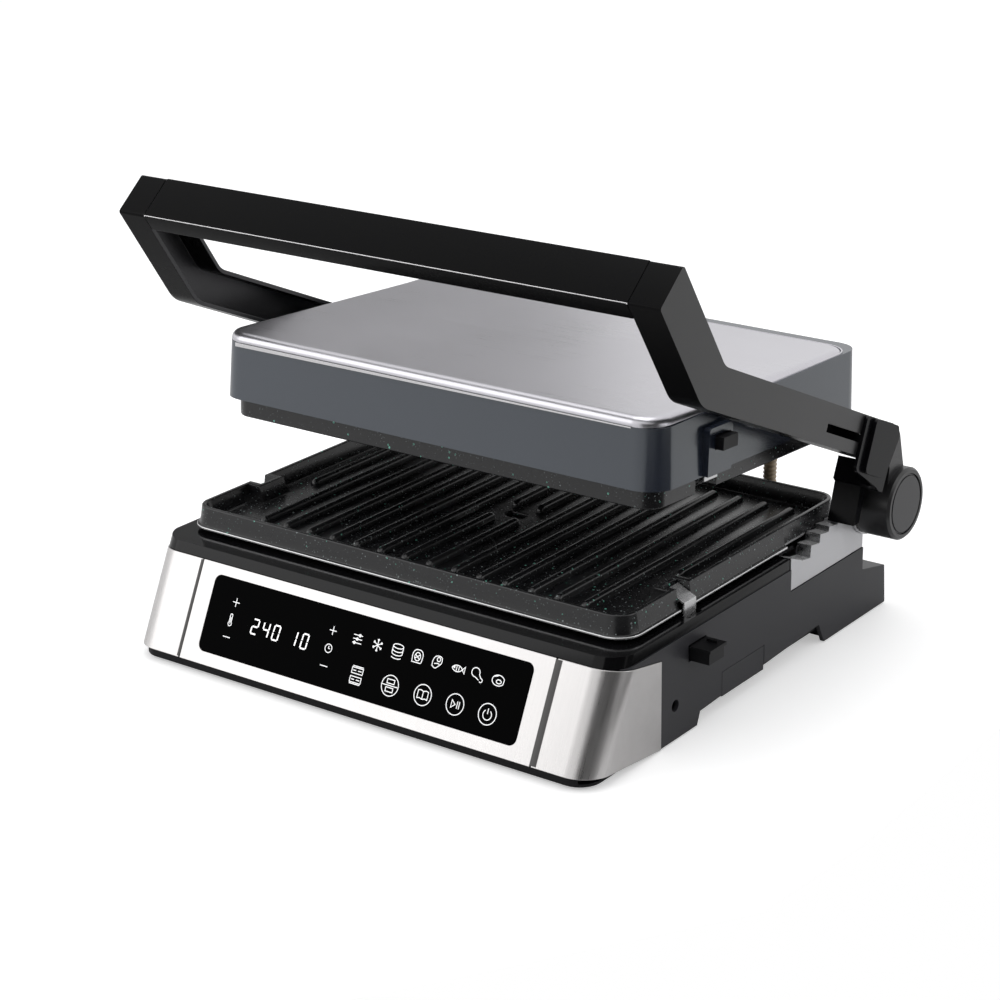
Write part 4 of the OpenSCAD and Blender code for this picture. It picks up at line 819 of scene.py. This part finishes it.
def brushed(name, colour, roughness, lines, contrast=0.5, relief=0.2, metallic=1.0, **shader):
    """A metal finish with drawn lines."""
    return finish_material(name, "Brushed lines",
                           {"Colour": opaque(colour), "Roughness": roughness, "Lines": lines,
                            "Contrast": contrast}, relief, 0.00003, Metallic=metallic, **shader)


def finishes():
    """All finishes of the grill by name. The numbers of a moulded one are roughness, relief, grain
    and handling, those of a brushed one roughness, lines, contrast and relief."""
    tint = bpy.context.scene.grill_colours
    return {
        "housing": moulded("housing_plastic", tint.housing, 0.44, 0.3, handling=0.04, mirror=0.35),
        "pan": moulded("pan_plastic", (0.008, 0.008, 0.009), 0.5, 0.35, mirror=0.15),
        "latch": moulded("latch_plastic", (0.007, 0.007, 0.008), 0.34, 0.2, mirror=0.2),
        "deck": moulded("deck_gloss", (0.004, 0.004, 0.0045), 0.12, 0.03, 900.0, 0.03, mirror=0.2),
        "front_steel": brushed("front_steel", tint.steel, 0.27, (5200.0, 60.0, 60.0), 0.55, 0.25),
        "cover_steel": brushed("cover_steel", tint.cover, 0.30, (26.0, 4200.0, 60.0), 0.35, 0.15),
        "glass": moulded("panel_glass", (0.0006, 0.0006, 0.0007), 0.07, 0.02, 400.0, 0.03,
                         mirror=0.01),
        "coating": finish_material(
            "plate_coating", "Speckled coating",
            {"Ground": opaque(tint.coating), "Speck": opaque(tint.speckle), "Roughness": 0.25,
             "Density": 0.85}, 0.22, 0.0001, Specular_IOR_Level=0.5),
        "arm": moulded("arm_plastic", tint.arm, 0.34, 0.2, handling=0.04, mirror=0.55),
        "bar": moulded("bar_black", tint.bar, 0.28, 0.1, handling=0.03, mirror=0.05),
        "button": moulded("button_gloss", (0.016, 0.016, 0.018), 0.24, 0.08, mirror=0.4),
        "slider": moulded("slider_black", (0.004, 0.004, 0.005), 0.2, 0.06, mirror=0.12),
        "lid": moulded("lid_plastic", tint.lid, 0.2, 0.05, handling=0.02,
                       IOR=1.88, Specular_Tint=(0.93, 0.98, 1.0, 1)),
        "zinc": brushed("sheet_zinc", (0.64, 0.64, 0.66), 0.34, (90.0, 90.0, 900.0), 0.25, 0.1,
                        metallic=0.55),
        # Also the band on the lower plate's flared foot: painted highlight.
        "chrome": brushed("bright_steel_and_lip_highlight", (0.78, 0.78, 0.79), 0.2, (400.0, 400.0, 90.0), 0.2, 0.05,
                          metallic=0.75),
        # Also on the risers of the bracket's steps, darker than their treads: painted shade.
        "hardware": brushed("hardware", (0.55, 0.55, 0.56), 0.26, (500.0, 500.0, 500.0), 0.5, 0.1),
        "heater": brushed("heater_sheath", (0.30, 0.27, 0.25), 0.42, (60.0, 700.0, 700.0), 0.6,
                          0.1),
        "reflector": brushed("reflector", (0.75, 0.75, 0.76), 0.22, (60.0, 900.0, 60.0), 0.4, 0.1),
        "ceramic": moulded("sensor_white", (0.62, 0.61, 0.58), 0.45, 0.2, 1800.0),
        "board": moulded("board", (0.012, 0.075, 0.030), 0.4, 0.2, 500.0, 0.1),
        "hose": moulded("hose", tint.hose, 0.42, 0.2, 1500.0, 0.1),
        "rubber": moulded("rubber", (0.012, 0.012, 0.012), 0.72, 0.5, 1500.0, 0.1),
        "spring": brushed("spring_steel", (0.5, 0.5, 0.52), 0.28, (300.0, 300.0, 300.0), 0.4, 0.1),
        # Bright strips on the front edges of the lid's skirt and of the handle bar: painted
        # highlight.
        "painted_highlight": brushed("painted_highlight_edge", (0.70, 0.69, 0.70), 0.25, (60.0, 900.0, 900.0), 0.2,
                               0.03),
        # Dark strips along the seams of the front: painted shade.
        "seam": brushed("seam_steel", (0.085, 0.083, 0.082), 0.35, (60.0, 60.0, 900.0), 0.3, 0.05),
        # Bright tops of the bracket's steps: painted highlight.
        "tread": brushed("tread_steel", (0.82, 0.82, 0.83), 0.25, (300.0, 300.0, 90.0), 0.2, 0.04,
                         metallic=0.35),
        "marks": moulded("display_marks", tint.display, 0.4, 0.0, 800.0, 0.05,
                         Emission_Color=(0.95, 0.97, 1.0, 1.0), Emission_Strength=0.35),
        "window": moulded("display_digits", tint.display, 0.4, 0.0, 800.0, 0.05,
                          Emission_Color=(1.0, 1.0, 1.0, 1.0), Emission_Strength=0.6),
    }


def plain_material(name, shade, roughness):
    """A new material of one colour and gloss, with its node tree and main shader."""
    material = bpy.data.materials.new(name)
    material.use_nodes = True
    shader = material.node_tree.nodes["Principled BSDF"]
    shader.inputs["Base Color"].default_value = shade
    shader.inputs["Roughness"].default_value = roughness
    return material, material.node_tree, shader


def unseen_card(name, shade):
    """A matt card of one grey for the object to mirror, which looks like the white background in
    the picture itself."""
    material, tree, shader = plain_material(name, (shade, shade, shade, 1), 0.9)
    glow = add_node(tree, "ShaderNodeEmission", Strength=1.0)
    ray = tree.nodes.new("ShaderNodeLightPath")
    mix = add_node(tree, "ShaderNodeMixShader", i0=ray.outputs["Is Camera Ray"],
                   i1=shader.outputs[0], i2=glow.outputs[0])
    tree.links.new(mix.outputs[0], tree.nodes["Material Output"].inputs["Surface"])
    return material


# ---- Operators ----


class GrillStep:
    """Shared part of the operators: they run on the scene and can be undone."""

    bl_options = {"REGISTER", "UNDO"}


class GRILL_OT_stage(GrillStep, bpy.types.Operator):
    """Adds the pale floor, the studio lamps and the camera"""

    bl_idname = "grill.stage"
    bl_label = "Stage"

    def execute(self, context):
        scene = context.scene
        scene.view_settings.view_transform = "Standard"
        level = scene.grill_colours.light_level
        ends = (-FLOOR_REACH, FLOOR_REACH)
        floor = surface_piece("floor", [sheet(np.array(
            [[(x, y, 0.0) for x in ends] for y in ends]), wrapped=False)], facing=AS_LAID)
        pale, tree, shader = plain_material("pale_floor", (0.88, 0.88, 0.885, 1), 0.75)
        shader.inputs["Specular IOR Level"].default_value = 0.2
        shader.inputs["Emission Color"].default_value = (1, 1, 1, 1)
        ray = tree.nodes.new("ShaderNodeLightPath")
        tree.links.new(maths(tree, "MULTIPLY", ray.outputs["Is Camera Ray"], FLOOR_GLOW),
                       shader.inputs["Emission Strength"])
        floor.data.materials.append(pale)

        world = bpy.data.worlds.new("studio")
        scene.world = world
        world.use_nodes = True
        tree = world.node_tree
        ray = tree.nodes.new("ShaderNodeLightPath")
        seen = maths(tree, "MAXIMUM", ray.outputs["Is Camera Ray"], maths(
            tree, "MAXIMUM", ray.outputs["Is Glossy Ray"], ray.outputs["Is Transmission Ray"]))
        tree.links.new(ranged(tree, seen, 0.0, 1.0, WORLD_LIGHT * level, 1.0),
                       tree.nodes["Background"].inputs["Strength"])
        tree.nodes["Background"].inputs["Color"].default_value = (1, 1, 1, 1)

        for name, place, aim, width, height, power in LAMPS:
            data = bpy.data.lights.new(name, "AREA")
            data.shape = "RECTANGLE"
            data.size, data.size_y = width, height
            data.energy = power * level
            lamp = bpy.data.objects.new(name, data)
            lamp.location = place
            lamp.rotation_euler = (Vector(aim) - Vector(place)).to_track_quat("-Z", "Y").to_euler()
            scene.collection.objects.link(lamp)

        # Upright cards stand on a line of feet. The lying one runs from a far to a near edge,
        # both given as distances ahead of the front right corner and beside it.
        around = np.array([(0.75, -2.35), (2.35, -1.05), (2.75, -0.15)])
        behind = np.array([(-3.3, 0.9), (-1.45, 2.3)])
        ahead, beside = np.array([0.593, -0.805]), np.array([0.805, 0.593])
        near = np.array([(0.46, -0.14), (0.36, 0.12), (0.29, 0.18), (0.12, 0.30), (0.12, 1.0)])
        far = np.array([(1.3, -0.14), (1.3, 0.2), (1.3, 0.3), (1.3, 0.4), (1.3, 1.0)])
        lying = [at_height(row[:, :1] * ahead + row[:, 1:] * beside, 0.0001) for row in (far, near)]
        for name, rows, shade in (
                ("dark_card", [at_height(around, z) for z in (0.02, 1.5)], 0.012),
                ("floor_card", lying, 0.012),
                ("grey_board", [at_height(behind, z) for z in (0.25, 2.3)], 0.46)):
            card = surface_piece(name, [sheet(np.concatenate(rows), wrapped=False)],
                                 facing=AS_LAID)
            card.data.materials.append(unseen_card(name, shade))

        data = bpy.data.cameras.new("camera")
        data.sensor_fit = "HORIZONTAL"
        data.sensor_width = 36.0
        data.lens = CAMERA_LENS
        data.clip_end = 60.0
        camera = bpy.data.objects.new("camera", data)
        upward = CAMERA_SIDE.cross(CAMERA_AHEAD)
        c, s = math.cos(CAMERA_ROLL), math.sin(CAMERA_ROLL)
        turn = Matrix((CAMERA_SIDE * c + upward * s, upward * c - CAMERA_SIDE * s,
                       -CAMERA_AHEAD)).transposed().to_4x4()
        camera.matrix_world = Matrix.Translation(CAMERA_PLACE) @ turn
        scene.collection.objects.link(camera)
        scene.camera = camera
        return {"FINISHED"}


class GRILL_OT_housing(GrillStep, bpy.types.Operator):
    """Builds the housing, the pan, the feet and the frame behind the steel front"""

    bl_idname = "grill.housing"
    bl_label = "Housing"

    def execute(self, context):
        refine(("housing", 0.7, 3, "base_housing"), ("pan", 0.5, 2, "base_pan"),
               ("pan", 0.3, 2, "front_frame"), ("pan", 0.4, 2, "conduit_collar_base"),
               ("rubber", 0.3, 2, "cord_gland"), ("rubber", 0.4, 2, "foot_pads"))
        return {"FINISHED"}


class GRILL_OT_front(GrillStep, bpy.types.Operator):
    """Builds the steel fascia and the steel corner trims"""

    bl_idname = "grill.front"
    bl_label = "Steel front"

    def execute(self, context):
        refine(("front_steel", 0.3, 2, "front_fascia", "corner_trim_left", "corner_trim_right"))
        # The dark strips at the seams are painted shade of the seam grooves: strips up the slope of
        # the front, bowed out of it by a cosine over their width.
        z = np.linspace(8.7, 63.0, 12)
        slope = FRONT_FOOT[0] + (z - FRONT_FOOT[1]) * math.tan(FRONT_LEAN)
        bow = 0.16 + 0.05 * np.cos(np.linspace(-math.pi, math.pi, 9))
        parts = []
        for start, end in ((130.9, 135.3), (-133.2, -131.2)):
            grid = np.empty((12, 9, 3))
            grid[..., 0] = np.linspace(start, end, 9)
            grid[..., 1] = slope[:, None] - bow * math.cos(FRONT_LEAN)
            grid[..., 2] = z[:, None] + bow * math.sin(FRONT_LEAN)
            parts.append(sheet(grid * MM, wrapped=False))
        outward = Vector((0, -math.cos(FRONT_LEAN), math.sin(FRONT_LEAN)))
        seams = surface_piece("seam_strips", parts, facing=outward)
        dress(seams, finishes()["seam"], "base", ())
        return {"FINISHED"}


class GRILL_OT_deck(GrillStep, bpy.types.Operator):
    """Builds the gloss deck that carries the lower plate"""

    bl_idname = "grill.deck"
    bl_label = "Gloss deck"

    def execute(self, context):
        refine(("deck", 0.5, 3, "top_deck"))
        return {"FINISHED"}


class GRILL_OT_touch_panel(GrillStep, bpy.types.Operator):
    """Builds the glass touch panel with its digits and symbols"""

    bl_idname = "grill.touch_panel"
    bl_label = "Touch panel"

    def execute(self, context):
        refine(("glass", 0.35, 3, "touch_panel"))
        paint = finishes()
        line = context.scene.grill_sizes.mark_line / MM
        outward = Vector((0, -math.sin(PANEL_TILT), math.cos(PANEL_TILT)))
        symbols, digits = panel_strokes()
        for name, strokes, width, finish in (("panel_symbols", symbols, line, "marks"),
                                             ("panel_digits", digits, line * 1.7, "window")):
            parts = []
            for closed, points in strokes:
                flat = ribbon(points, width, closed)
                lifted = np.concatenate([flat, np.full((*flat.shape[:2], 1), 0.36)], axis=-1)
                parts.append(sheet(on_panel(lifted), closed))
            piece = surface_piece(name, parts, weld=0.0, facing=outward)
            body = frame["nodes"]["touch_panel"]["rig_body"]
            dress(piece, paint[finish], body, ())
        return {"FINISHED"}


class GRILL_OT_lower_plate(GrillStep, bpy.types.Operator):
    """Builds the ribbed lower plate with its flared wall, notches and drain"""

    bl_idname = "grill.lower_plate"
    bl_label = "Lower plate"

    def execute(self, context):
        sizes = context.scene.grill_sizes
        paint = finishes()
        shared = {"width": sizes.plate_width / MM - 12.0, "depth": 237.6, "notch_y": -57.1,
                  "centre_y": 2.5}
        rings = plate_rings(**shared, notch_in=9.0, levels=[
            (-19.0, 5.5, 75.5, 11.8, 0.0), (-16.0, 6.0, 75.75, 11.8, 0.0),
            (-13.4, 6.5, 76.5, 11.8, 0.0), (-9.4, 8.0, 79.0, 11.7, 0.0),
            (-6.8, 9.0, 82.4, 11.6, 0.0), (-5.4, 9.6, 84.8, 11.5, 0.0),
            (-4.9, 9.9, 85.25, 11.0, 0.0), (-4.2, 10.2, 85.4, 9.8, 0.0),
            (-1.3, 11.6, 85.4, 7.4, 0.0), (-0.3, 12.0, 85.2, 7.1, 0.0),
            (0.0, 12.0, 84.7, 7.0, 0.05), (0.0, 12.0, 79.0, 7.0, 0.9),
            (0.0, 12.0, 74.4, 7.0, 1.9), (0.0, 12.0, 73.9, 7.0, 2.4),
            (0.0, 12.0, 73.6, 7.0, 3.4), (0.0, 12.0, 73.3, 7.0, 3.7),
            (0.0, 12.0, 72.4, 7.0, 3.7), (0.0, 12.0, 72.0, 7.0, 3.3)])
        inner = plate_rings(**shared, notch_in=0.0, levels=[(-46.0, 4.0, LOWER_FLOOR, 11.8, 0.0)])
        # The drain is a round hole with a lip. The floor runs straight from lip to inner ring.
        drain = np.array([0.0, 2.2])
        away = rings[0, :, :2] - drain
        angle = np.unwrap(np.arctan2(away[:, 1], away[:, 0]))
        circle = np.column_stack([np.cos(angle), np.sin(angle)])
        hole, lip = drain + 7.0 * circle, at_height(drain + 8.2 * circle, LOWER_FLOOR)
        floor = lip + (inner - lip) * np.array([0.25, 0.6])[:, None, None]
        body = np.concatenate([at_height(hole, 72.0), at_height(hole, 74.8), lip, floor, inner,
                               rings, at_height(hole, 72.0)])
        places = rib_places(y0=-99.3, y1=102.3, short_y0=-28.9, break_y0=-8.3, break_y1=12.7)
        piece = plate_piece("lower_plate_cast", body, places, LOWER_FLOOR, 1, sizes,
                            lambda grid: grid * MM)
        dress(piece, paint["coating"], "lower_plate", ("lower_plate",))
        # Bright steel on the flared foot's outer edge, away from the drain: painted highlight.
        add_finish(piece, paint["chrome"], lambda normals, middles: (
            (middles[:, 2] > 0.0724) & (middles[:, 2] < 0.0737) & (normals[:, 2] < 0.9)
            & (np.hypot(middles[:, 0], middles[:, 1]) > 0.05)))
        return {"FINISHED"}


class GRILL_OT_upper_plate(GrillStep, bpy.types.Operator):
    """Builds the upper plate, whose ribs hang below it"""

    bl_idname = "grill.upper_plate"
    bl_label = "Upper plate"

    def execute(self, context):
        shared = {"width": 311.0, "depth": 219.4, "notch_y": -54.8, "centre_y": 0.0}
        rings = plate_rings(**shared, notch_in=8.0, levels=[
            (-14.4, 6.0, -27.1, 15.2, 0.0), (-12.9, 7.0, -27.4, 15.2, 0.0),
            (-12.0, 8.0, -28.4, 15.2, 0.0), (-12.0, 8.0, -32.3, 15.2, 0.0),
            (-11.4, 8.0, -32.9, 15.2, 0.0), (-10.4, 8.5, -33.1, 14.8, 0.0),
            (-2.4, 11.0, -33.1, 11.9, 0.0), (-0.8, 11.8, -32.8, 11.6, 0.0),
            (0.0, 12.0, -32.0, 11.5, 0.0), (0.0, 12.0, -19.5, 11.5, 0.0),
            (-0.4, 12.0, -19.1, 11.5, 0.0)])
        below, above = (
            plate_rings(**shared, notch_in=0.0, levels=[(-46.0, 4.0, z, 15.2, 0.0)])
            for z in (UPPER_FLOOR, -19.1))
        body = capped_grid(np.concatenate([below, rings, above]))
        places = rib_places(y0=-94.8, y1=94.8, short_y0=-24.4, break_y0=-9.8, break_y1=11.2)
        piece = plate_piece("upper_plate_cast", body, places, UPPER_FLOOR, -1,
                            context.scene.grill_sizes, on_lid)
        dress(piece, finishes()["coating"], "upper_plate", ("upper_plate",))
        return {"FINISHED"}


class GRILL_OT_lid(GrillStep, bpy.types.Operator):
    """Builds the lid: steel cover, plastic skirt and inner frame"""

    bl_idname = "grill.lid"
    bl_label = "Lid"

    def execute(self, context):
        sizes = context.scene.grill_sizes
        paint = finishes()
        grid = cover_surface(width=318.0, front=-116.2, rear=104.3, corner=17.0, wall_low=15.85,
                             roll=sizes.cover_roll / MM, top=21.2,
                             crown=sizes.cover_crown / MM, thickness=1.0)
        piece = even_shading(surface_piece("lid_cover_sheet",
                                           [sheet(on_lid(capped_grid(grid)))], 60.0))
        dress(piece, paint["cover_steel"], "lid", ("lid_cover",))
        refine(("lid", 0.6, 3, "lid_skirt"))
        # The skirt's front edge carries a painted highlight, a bright strip whose width shrinks
        # evenly along x.
        along = np.linspace(0, 1, 24)
        drop = 2.4 - 1.7 * along
        left, reach, front, top = -147.0, 290.0, -116.0, 15.3
        rim = np.empty((24, 3, 3))
        rim[..., 0] = (left + reach * along)[:, None]
        rim[..., 1] = front - np.array([0.08, 0.16, 0.12])
        rim[..., 2] = top - drop[:, None] * np.array([0.0, 0.5, 1.0])
        edge = surface_piece("skirt_painted_highlight", [sheet(on_lid(rim), wrapped=False)],
                             facing=Vector((0, -1, 0.05)))
        dress(edge, paint["painted_highlight"], "lid", ())
        refine(("pan", 0.3, 2, "lid_frame", "conduit_collar_lid"),
               ("chrome", 0.2, 2, "lid_catch_left"))
        return {"FINISHED"}


class GRILL_OT_handle(GrillStep, bpy.types.Operator):
    """Builds the two arms and the handle bar"""

    bl_idname = "grill.handle"
    bl_label = "Arms and handle"

    def execute(self, context):
        paint = finishes()
        for node in ("right_arm", "left_arm"):
            piece = refined_node(node, paint["arm"], 0.5, 3)
            # The arms' faces that do not face sideways, in front, take the bar's darker black:
            # painted shade, picked by the faces' normals.
            add_finish(piece, paint["bar"], lambda normals, middles: (
                (np.abs(normals[:, 0]) < 0.7) & (middles[:, 1] < 0.10)))
        refine(("bar", 0.7, 3, "handle_bar"))
        # The bar's front edge carries a painted highlight, a bright strip on a circle arc round its
        # foremost corner, carried along x.
        corners = np.unique(np.round([vertex.co[1:] for vertex in
                                      frame["nodes"]["handle_bar"].data.vertices], 5), axis=0)
        low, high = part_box("handle_bar")
        edge = corners[np.argmin(corners[:, 0])]
        turn = np.linspace(math.radians(150), math.radians(285), 9)
        radius = 0.0009
        strip = np.empty((2, 9, 3))
        strip[..., 0] = np.array([low.x, high.x])[:, None]
        strip[..., 1] = edge[0] + radius + radius * np.cos(turn)
        strip[..., 2] = edge[1] + radius * np.sin(turn) + 0.0002
        line = surface_piece("painted_highlight_edge", [sheet(strip, wrapped=False)],
                             facing=Vector((0, -0.7, -0.7)))
        dress(line, paint["painted_highlight"], "arms", ())
        refine(("pan", 0.4, 2, "handle_underside"))
        return {"FINISHED"}


class GRILL_OT_hub(GrillStep, bpy.types.Operator):
    """Builds the push button with its spring and the cap of the left hub"""

    bl_idname = "grill.hub"
    bl_label = "Hub and push button"

    def execute(self, context):
        refine(("button", 0.6, 3, "push_button", "left_hub_cap"),
               ("hardware", 0.2, 2, "lock_discs"))
        # The spring is a wire carried along a helix about the hinge axis.
        low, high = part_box("push_spring")
        turns, wire = 4.5, 0.0006
        t = np.linspace(0, 1, 180)
        angle = 2 * math.pi * turns * t
        radius = (high.y - low.y) / 2 - wire
        climb = np.clip((t - 0.1) / 0.8, 0, 1)
        coil = np.stack([low.x + wire + climb * (high.x - low.x - 2 * wire),
                         HINGE_AXIS[0] * MM + radius * np.cos(angle),
                         HINGE_AXIS[1] * MM + radius * np.sin(angle)], axis=-1)
        spring = surface_piece("push_spring_coil",
                               [sheet(capped_grid(tube_grid(coil, wire, sides=8)))])
        dress(spring, finishes()["spring"], "arms", ("push_spring",))
        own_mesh(spring)
        return {"FINISHED"}


class GRILL_OT_slider(GrillStep, bpy.types.Operator):
    """Builds the height slider and the bracket with its steps"""

    bl_idname = "grill.slider"
    bl_label = "Height slider and brackets"

    def execute(self, context):
        refine(("slider", 1.3, 4, "height_slider"), ("slider", 0.3, 2, "slider_keeper"))
        paint = finishes()
        # The right bracket's steps carry painted light: a bright finish on the treads that face up,
        # painted highlight, and the darker hardware finish on their risers, painted shade. They lie
        # inside of the side x and in front of the hub's y, in metres.
        side, hub = 0.1695, 0.125
        piece = refined_node("hinge_bracket_right", paint["zinc"], 0.25)
        add_finish(piece, paint["tread"], lambda normals, middles: (
            (normals[:, 2] > 0.5) & (middles[:, 0] < side)))
        add_finish(piece, paint["hardware"], lambda normals, middles: (
            (np.abs(normals[:, 0]) < 0.7) & (normals[:, 2] > -0.95) & (normals[:, 2] < 0.35)
            & (middles[:, 1] < hub) & (middles[:, 0] < side)))
        refine(("zinc", 0.25, 2, "hinge_bracket_left"))
        return {"FINISHED"}


class GRILL_OT_clips(GrillStep, bpy.types.Operator):
    """Builds the clips and block buttons that release the plates"""

    bl_idname = "grill.clips"
    bl_label = "Plate releases"

    def execute(self, context):
        refine(("latch", 0.5, 3, "plate_button", "lid_button"),
               ("chrome", 0.2, 2, "plate_clip", "lid_clip", "plate_catch_left"))
        return {"FINISHED"}


class GRILL_OT_drip_tray(GrillStep, bpy.types.Operator):
    """Builds the drip tray"""

    bl_idname = "grill.drip_tray"
    bl_label = "Drip tray"

    def execute(self, context):
        refine(("housing", 0.4, 2, "drip_tray"))
        return {"FINISHED"}


class GRILL_OT_conduit(GrillStep, bpy.types.Operator):
    """Builds the ribbed conduit from base to lid, in four lengths"""

    bl_idname = "grill.conduit"
    bl_label = "Wiring conduit"

    def execute(self, context):
        paint = finishes()
        route = [(93, y, z) for y, z in (
            (133, 44), (141, 44), (148, 47.5), (151.5, 57), (152, 75), (153, 95), (155, 115),
            (157.5, 134), (158.3, 149), (155.6, 158.5), (149, 162.8), (142, 163.3))]
        # A tube carried along the route, its radius a cosine of the way along it, one wave a rib.
        path, run = route_curve(route, CONDUIT_RIBS * 6 + 1)
        radius, ripple = 4.15, 0.3
        wave = radius + ripple * np.cos(2 * math.pi * CONDUIT_RIBS * run / run[-1])
        grid = tube_grid(path, wave, sides=20) * MM
        # name, span of z, the bodies that the length would ride on, and the z where it would leave
        # the one and reach the other; nothing reads the last four
        lengths = [("conduit_base", 0.0, 88.0, "base", "hinge_lock", 50.0, 86.0),
                   ("conduit_hinge", 88.0, 106.0, "hinge_lock", "arms", 89.0, 105.0),
                   ("conduit_arm", 106.0, 128.0, "arms", "lid_pivots", 107.0, 127.0),
                   ("conduit_lid", 128.0, 200.0, "lid_pivots", "lid", 129.0, 156.0)]
        for name, low, high, first, second, start, end in lengths:
            inside = np.nonzero((path[:, 2] >= low) & (path[:, 2] <= high))[0]
            rows = np.arange(max(inside[0] - 1, 0), inside[-1] + 1)
            piece = surface_piece(name, [sheet(capped_grid(grid[rows]))], 70.0)
            dress(piece, paint["hose"], None, ("wiring_conduit",))
            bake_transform(piece)
        return {"FINISHED"}


class GRILL_OT_fasteners(GrillStep, bpy.types.Operator):
    """Finishes the pins and screws"""

    bl_idname = "grill.fasteners"
    bl_label = "Pins and screws"

    def execute(self, context):
        refine(("hardware", 0.15, 2, "hinge_pins", "lid_pivot_pins", "bracket_screws",
                "handle_screws", "slider_screws", "lid_screws", "base_screws"))
        return {"FINISHED"}


class GRILL_OT_inner_works(GrillStep, bpy.types.Operator):
    """Finishes the heaters, reflectors, sensors and boards inside"""

    bl_idname = "grill.inner_works"
    bl_label = "Inner works"

    def execute(self, context):
        paint = finishes()
        for node, finish in (("lower_heater", "heater"), ("upper_heater", "heater"),
                             ("lower_reflector", "reflector"), ("upper_reflector", "reflector"),
                             ("lower_sensor", "ceramic"), ("upper_sensor", "ceramic"),
                             ("panel_board", "board"), ("power_board", "board"),
                             ("handle_core", "hardware")):
            finish_node(node, paint[finish])
        return {"FINISHED"}


class GRILL_PT_sidebar(bpy.types.Panel):
    """Lists the steps that build the grill, with their sizes and colours"""

    bl_idname = "GRILL_PT_sidebar"
    bl_label = "Contact grill"
    bl_space_type = "VIEW_3D"
    bl_region_type = "UI"
    bl_category = "Grill"

    def draw(self, context):
        layout = self.layout
        for step in STEPS:
            layout.operator(step.bl_idname, text=step.bl_label)
        for settings in (context.scene.grill_sizes, context.scene.grill_colours):
            column = layout.column()
            for key in settings.__annotations__:
                column.prop(settings, key)


STEPS = (GRILL_OT_stage, GRILL_OT_housing, GRILL_OT_front, GRILL_OT_deck, GRILL_OT_touch_panel,
         GRILL_OT_lower_plate, GRILL_OT_upper_plate, GRILL_OT_lid, GRILL_OT_handle, GRILL_OT_hub,
         GRILL_OT_slider, GRILL_OT_clips, GRILL_OT_drip_tray, GRILL_OT_conduit,
         GRILL_OT_fasteners, GRILL_OT_inner_works)
CLASSES = (GrillSizes, GrillColours, *STEPS, GRILL_PT_sidebar)


def register():
    """Makes the settings, the operators and the panel known to Blender."""
    for kind in CLASSES:
        bpy.utils.register_class(kind)
    bpy.types.Scene.grill_sizes = bpy.props.PointerProperty(type=GrillSizes)
    bpy.types.Scene.grill_colours = bpy.props.PointerProperty(type=GrillColours)


def unregister():
    """Takes them away again."""
    del bpy.types.Scene.grill_colours
    del bpy.types.Scene.grill_sizes
    for kind in reversed(CLASSES):
        bpy.utils.unregister_class(kind)


def main():
    """Builds the whole grill."""
    register()
    for step in STEPS:
        group, name = step.bl_idname.split(".")
        getattr(getattr(bpy.ops, group), name)()


if __name__ == "__main__":
    main()
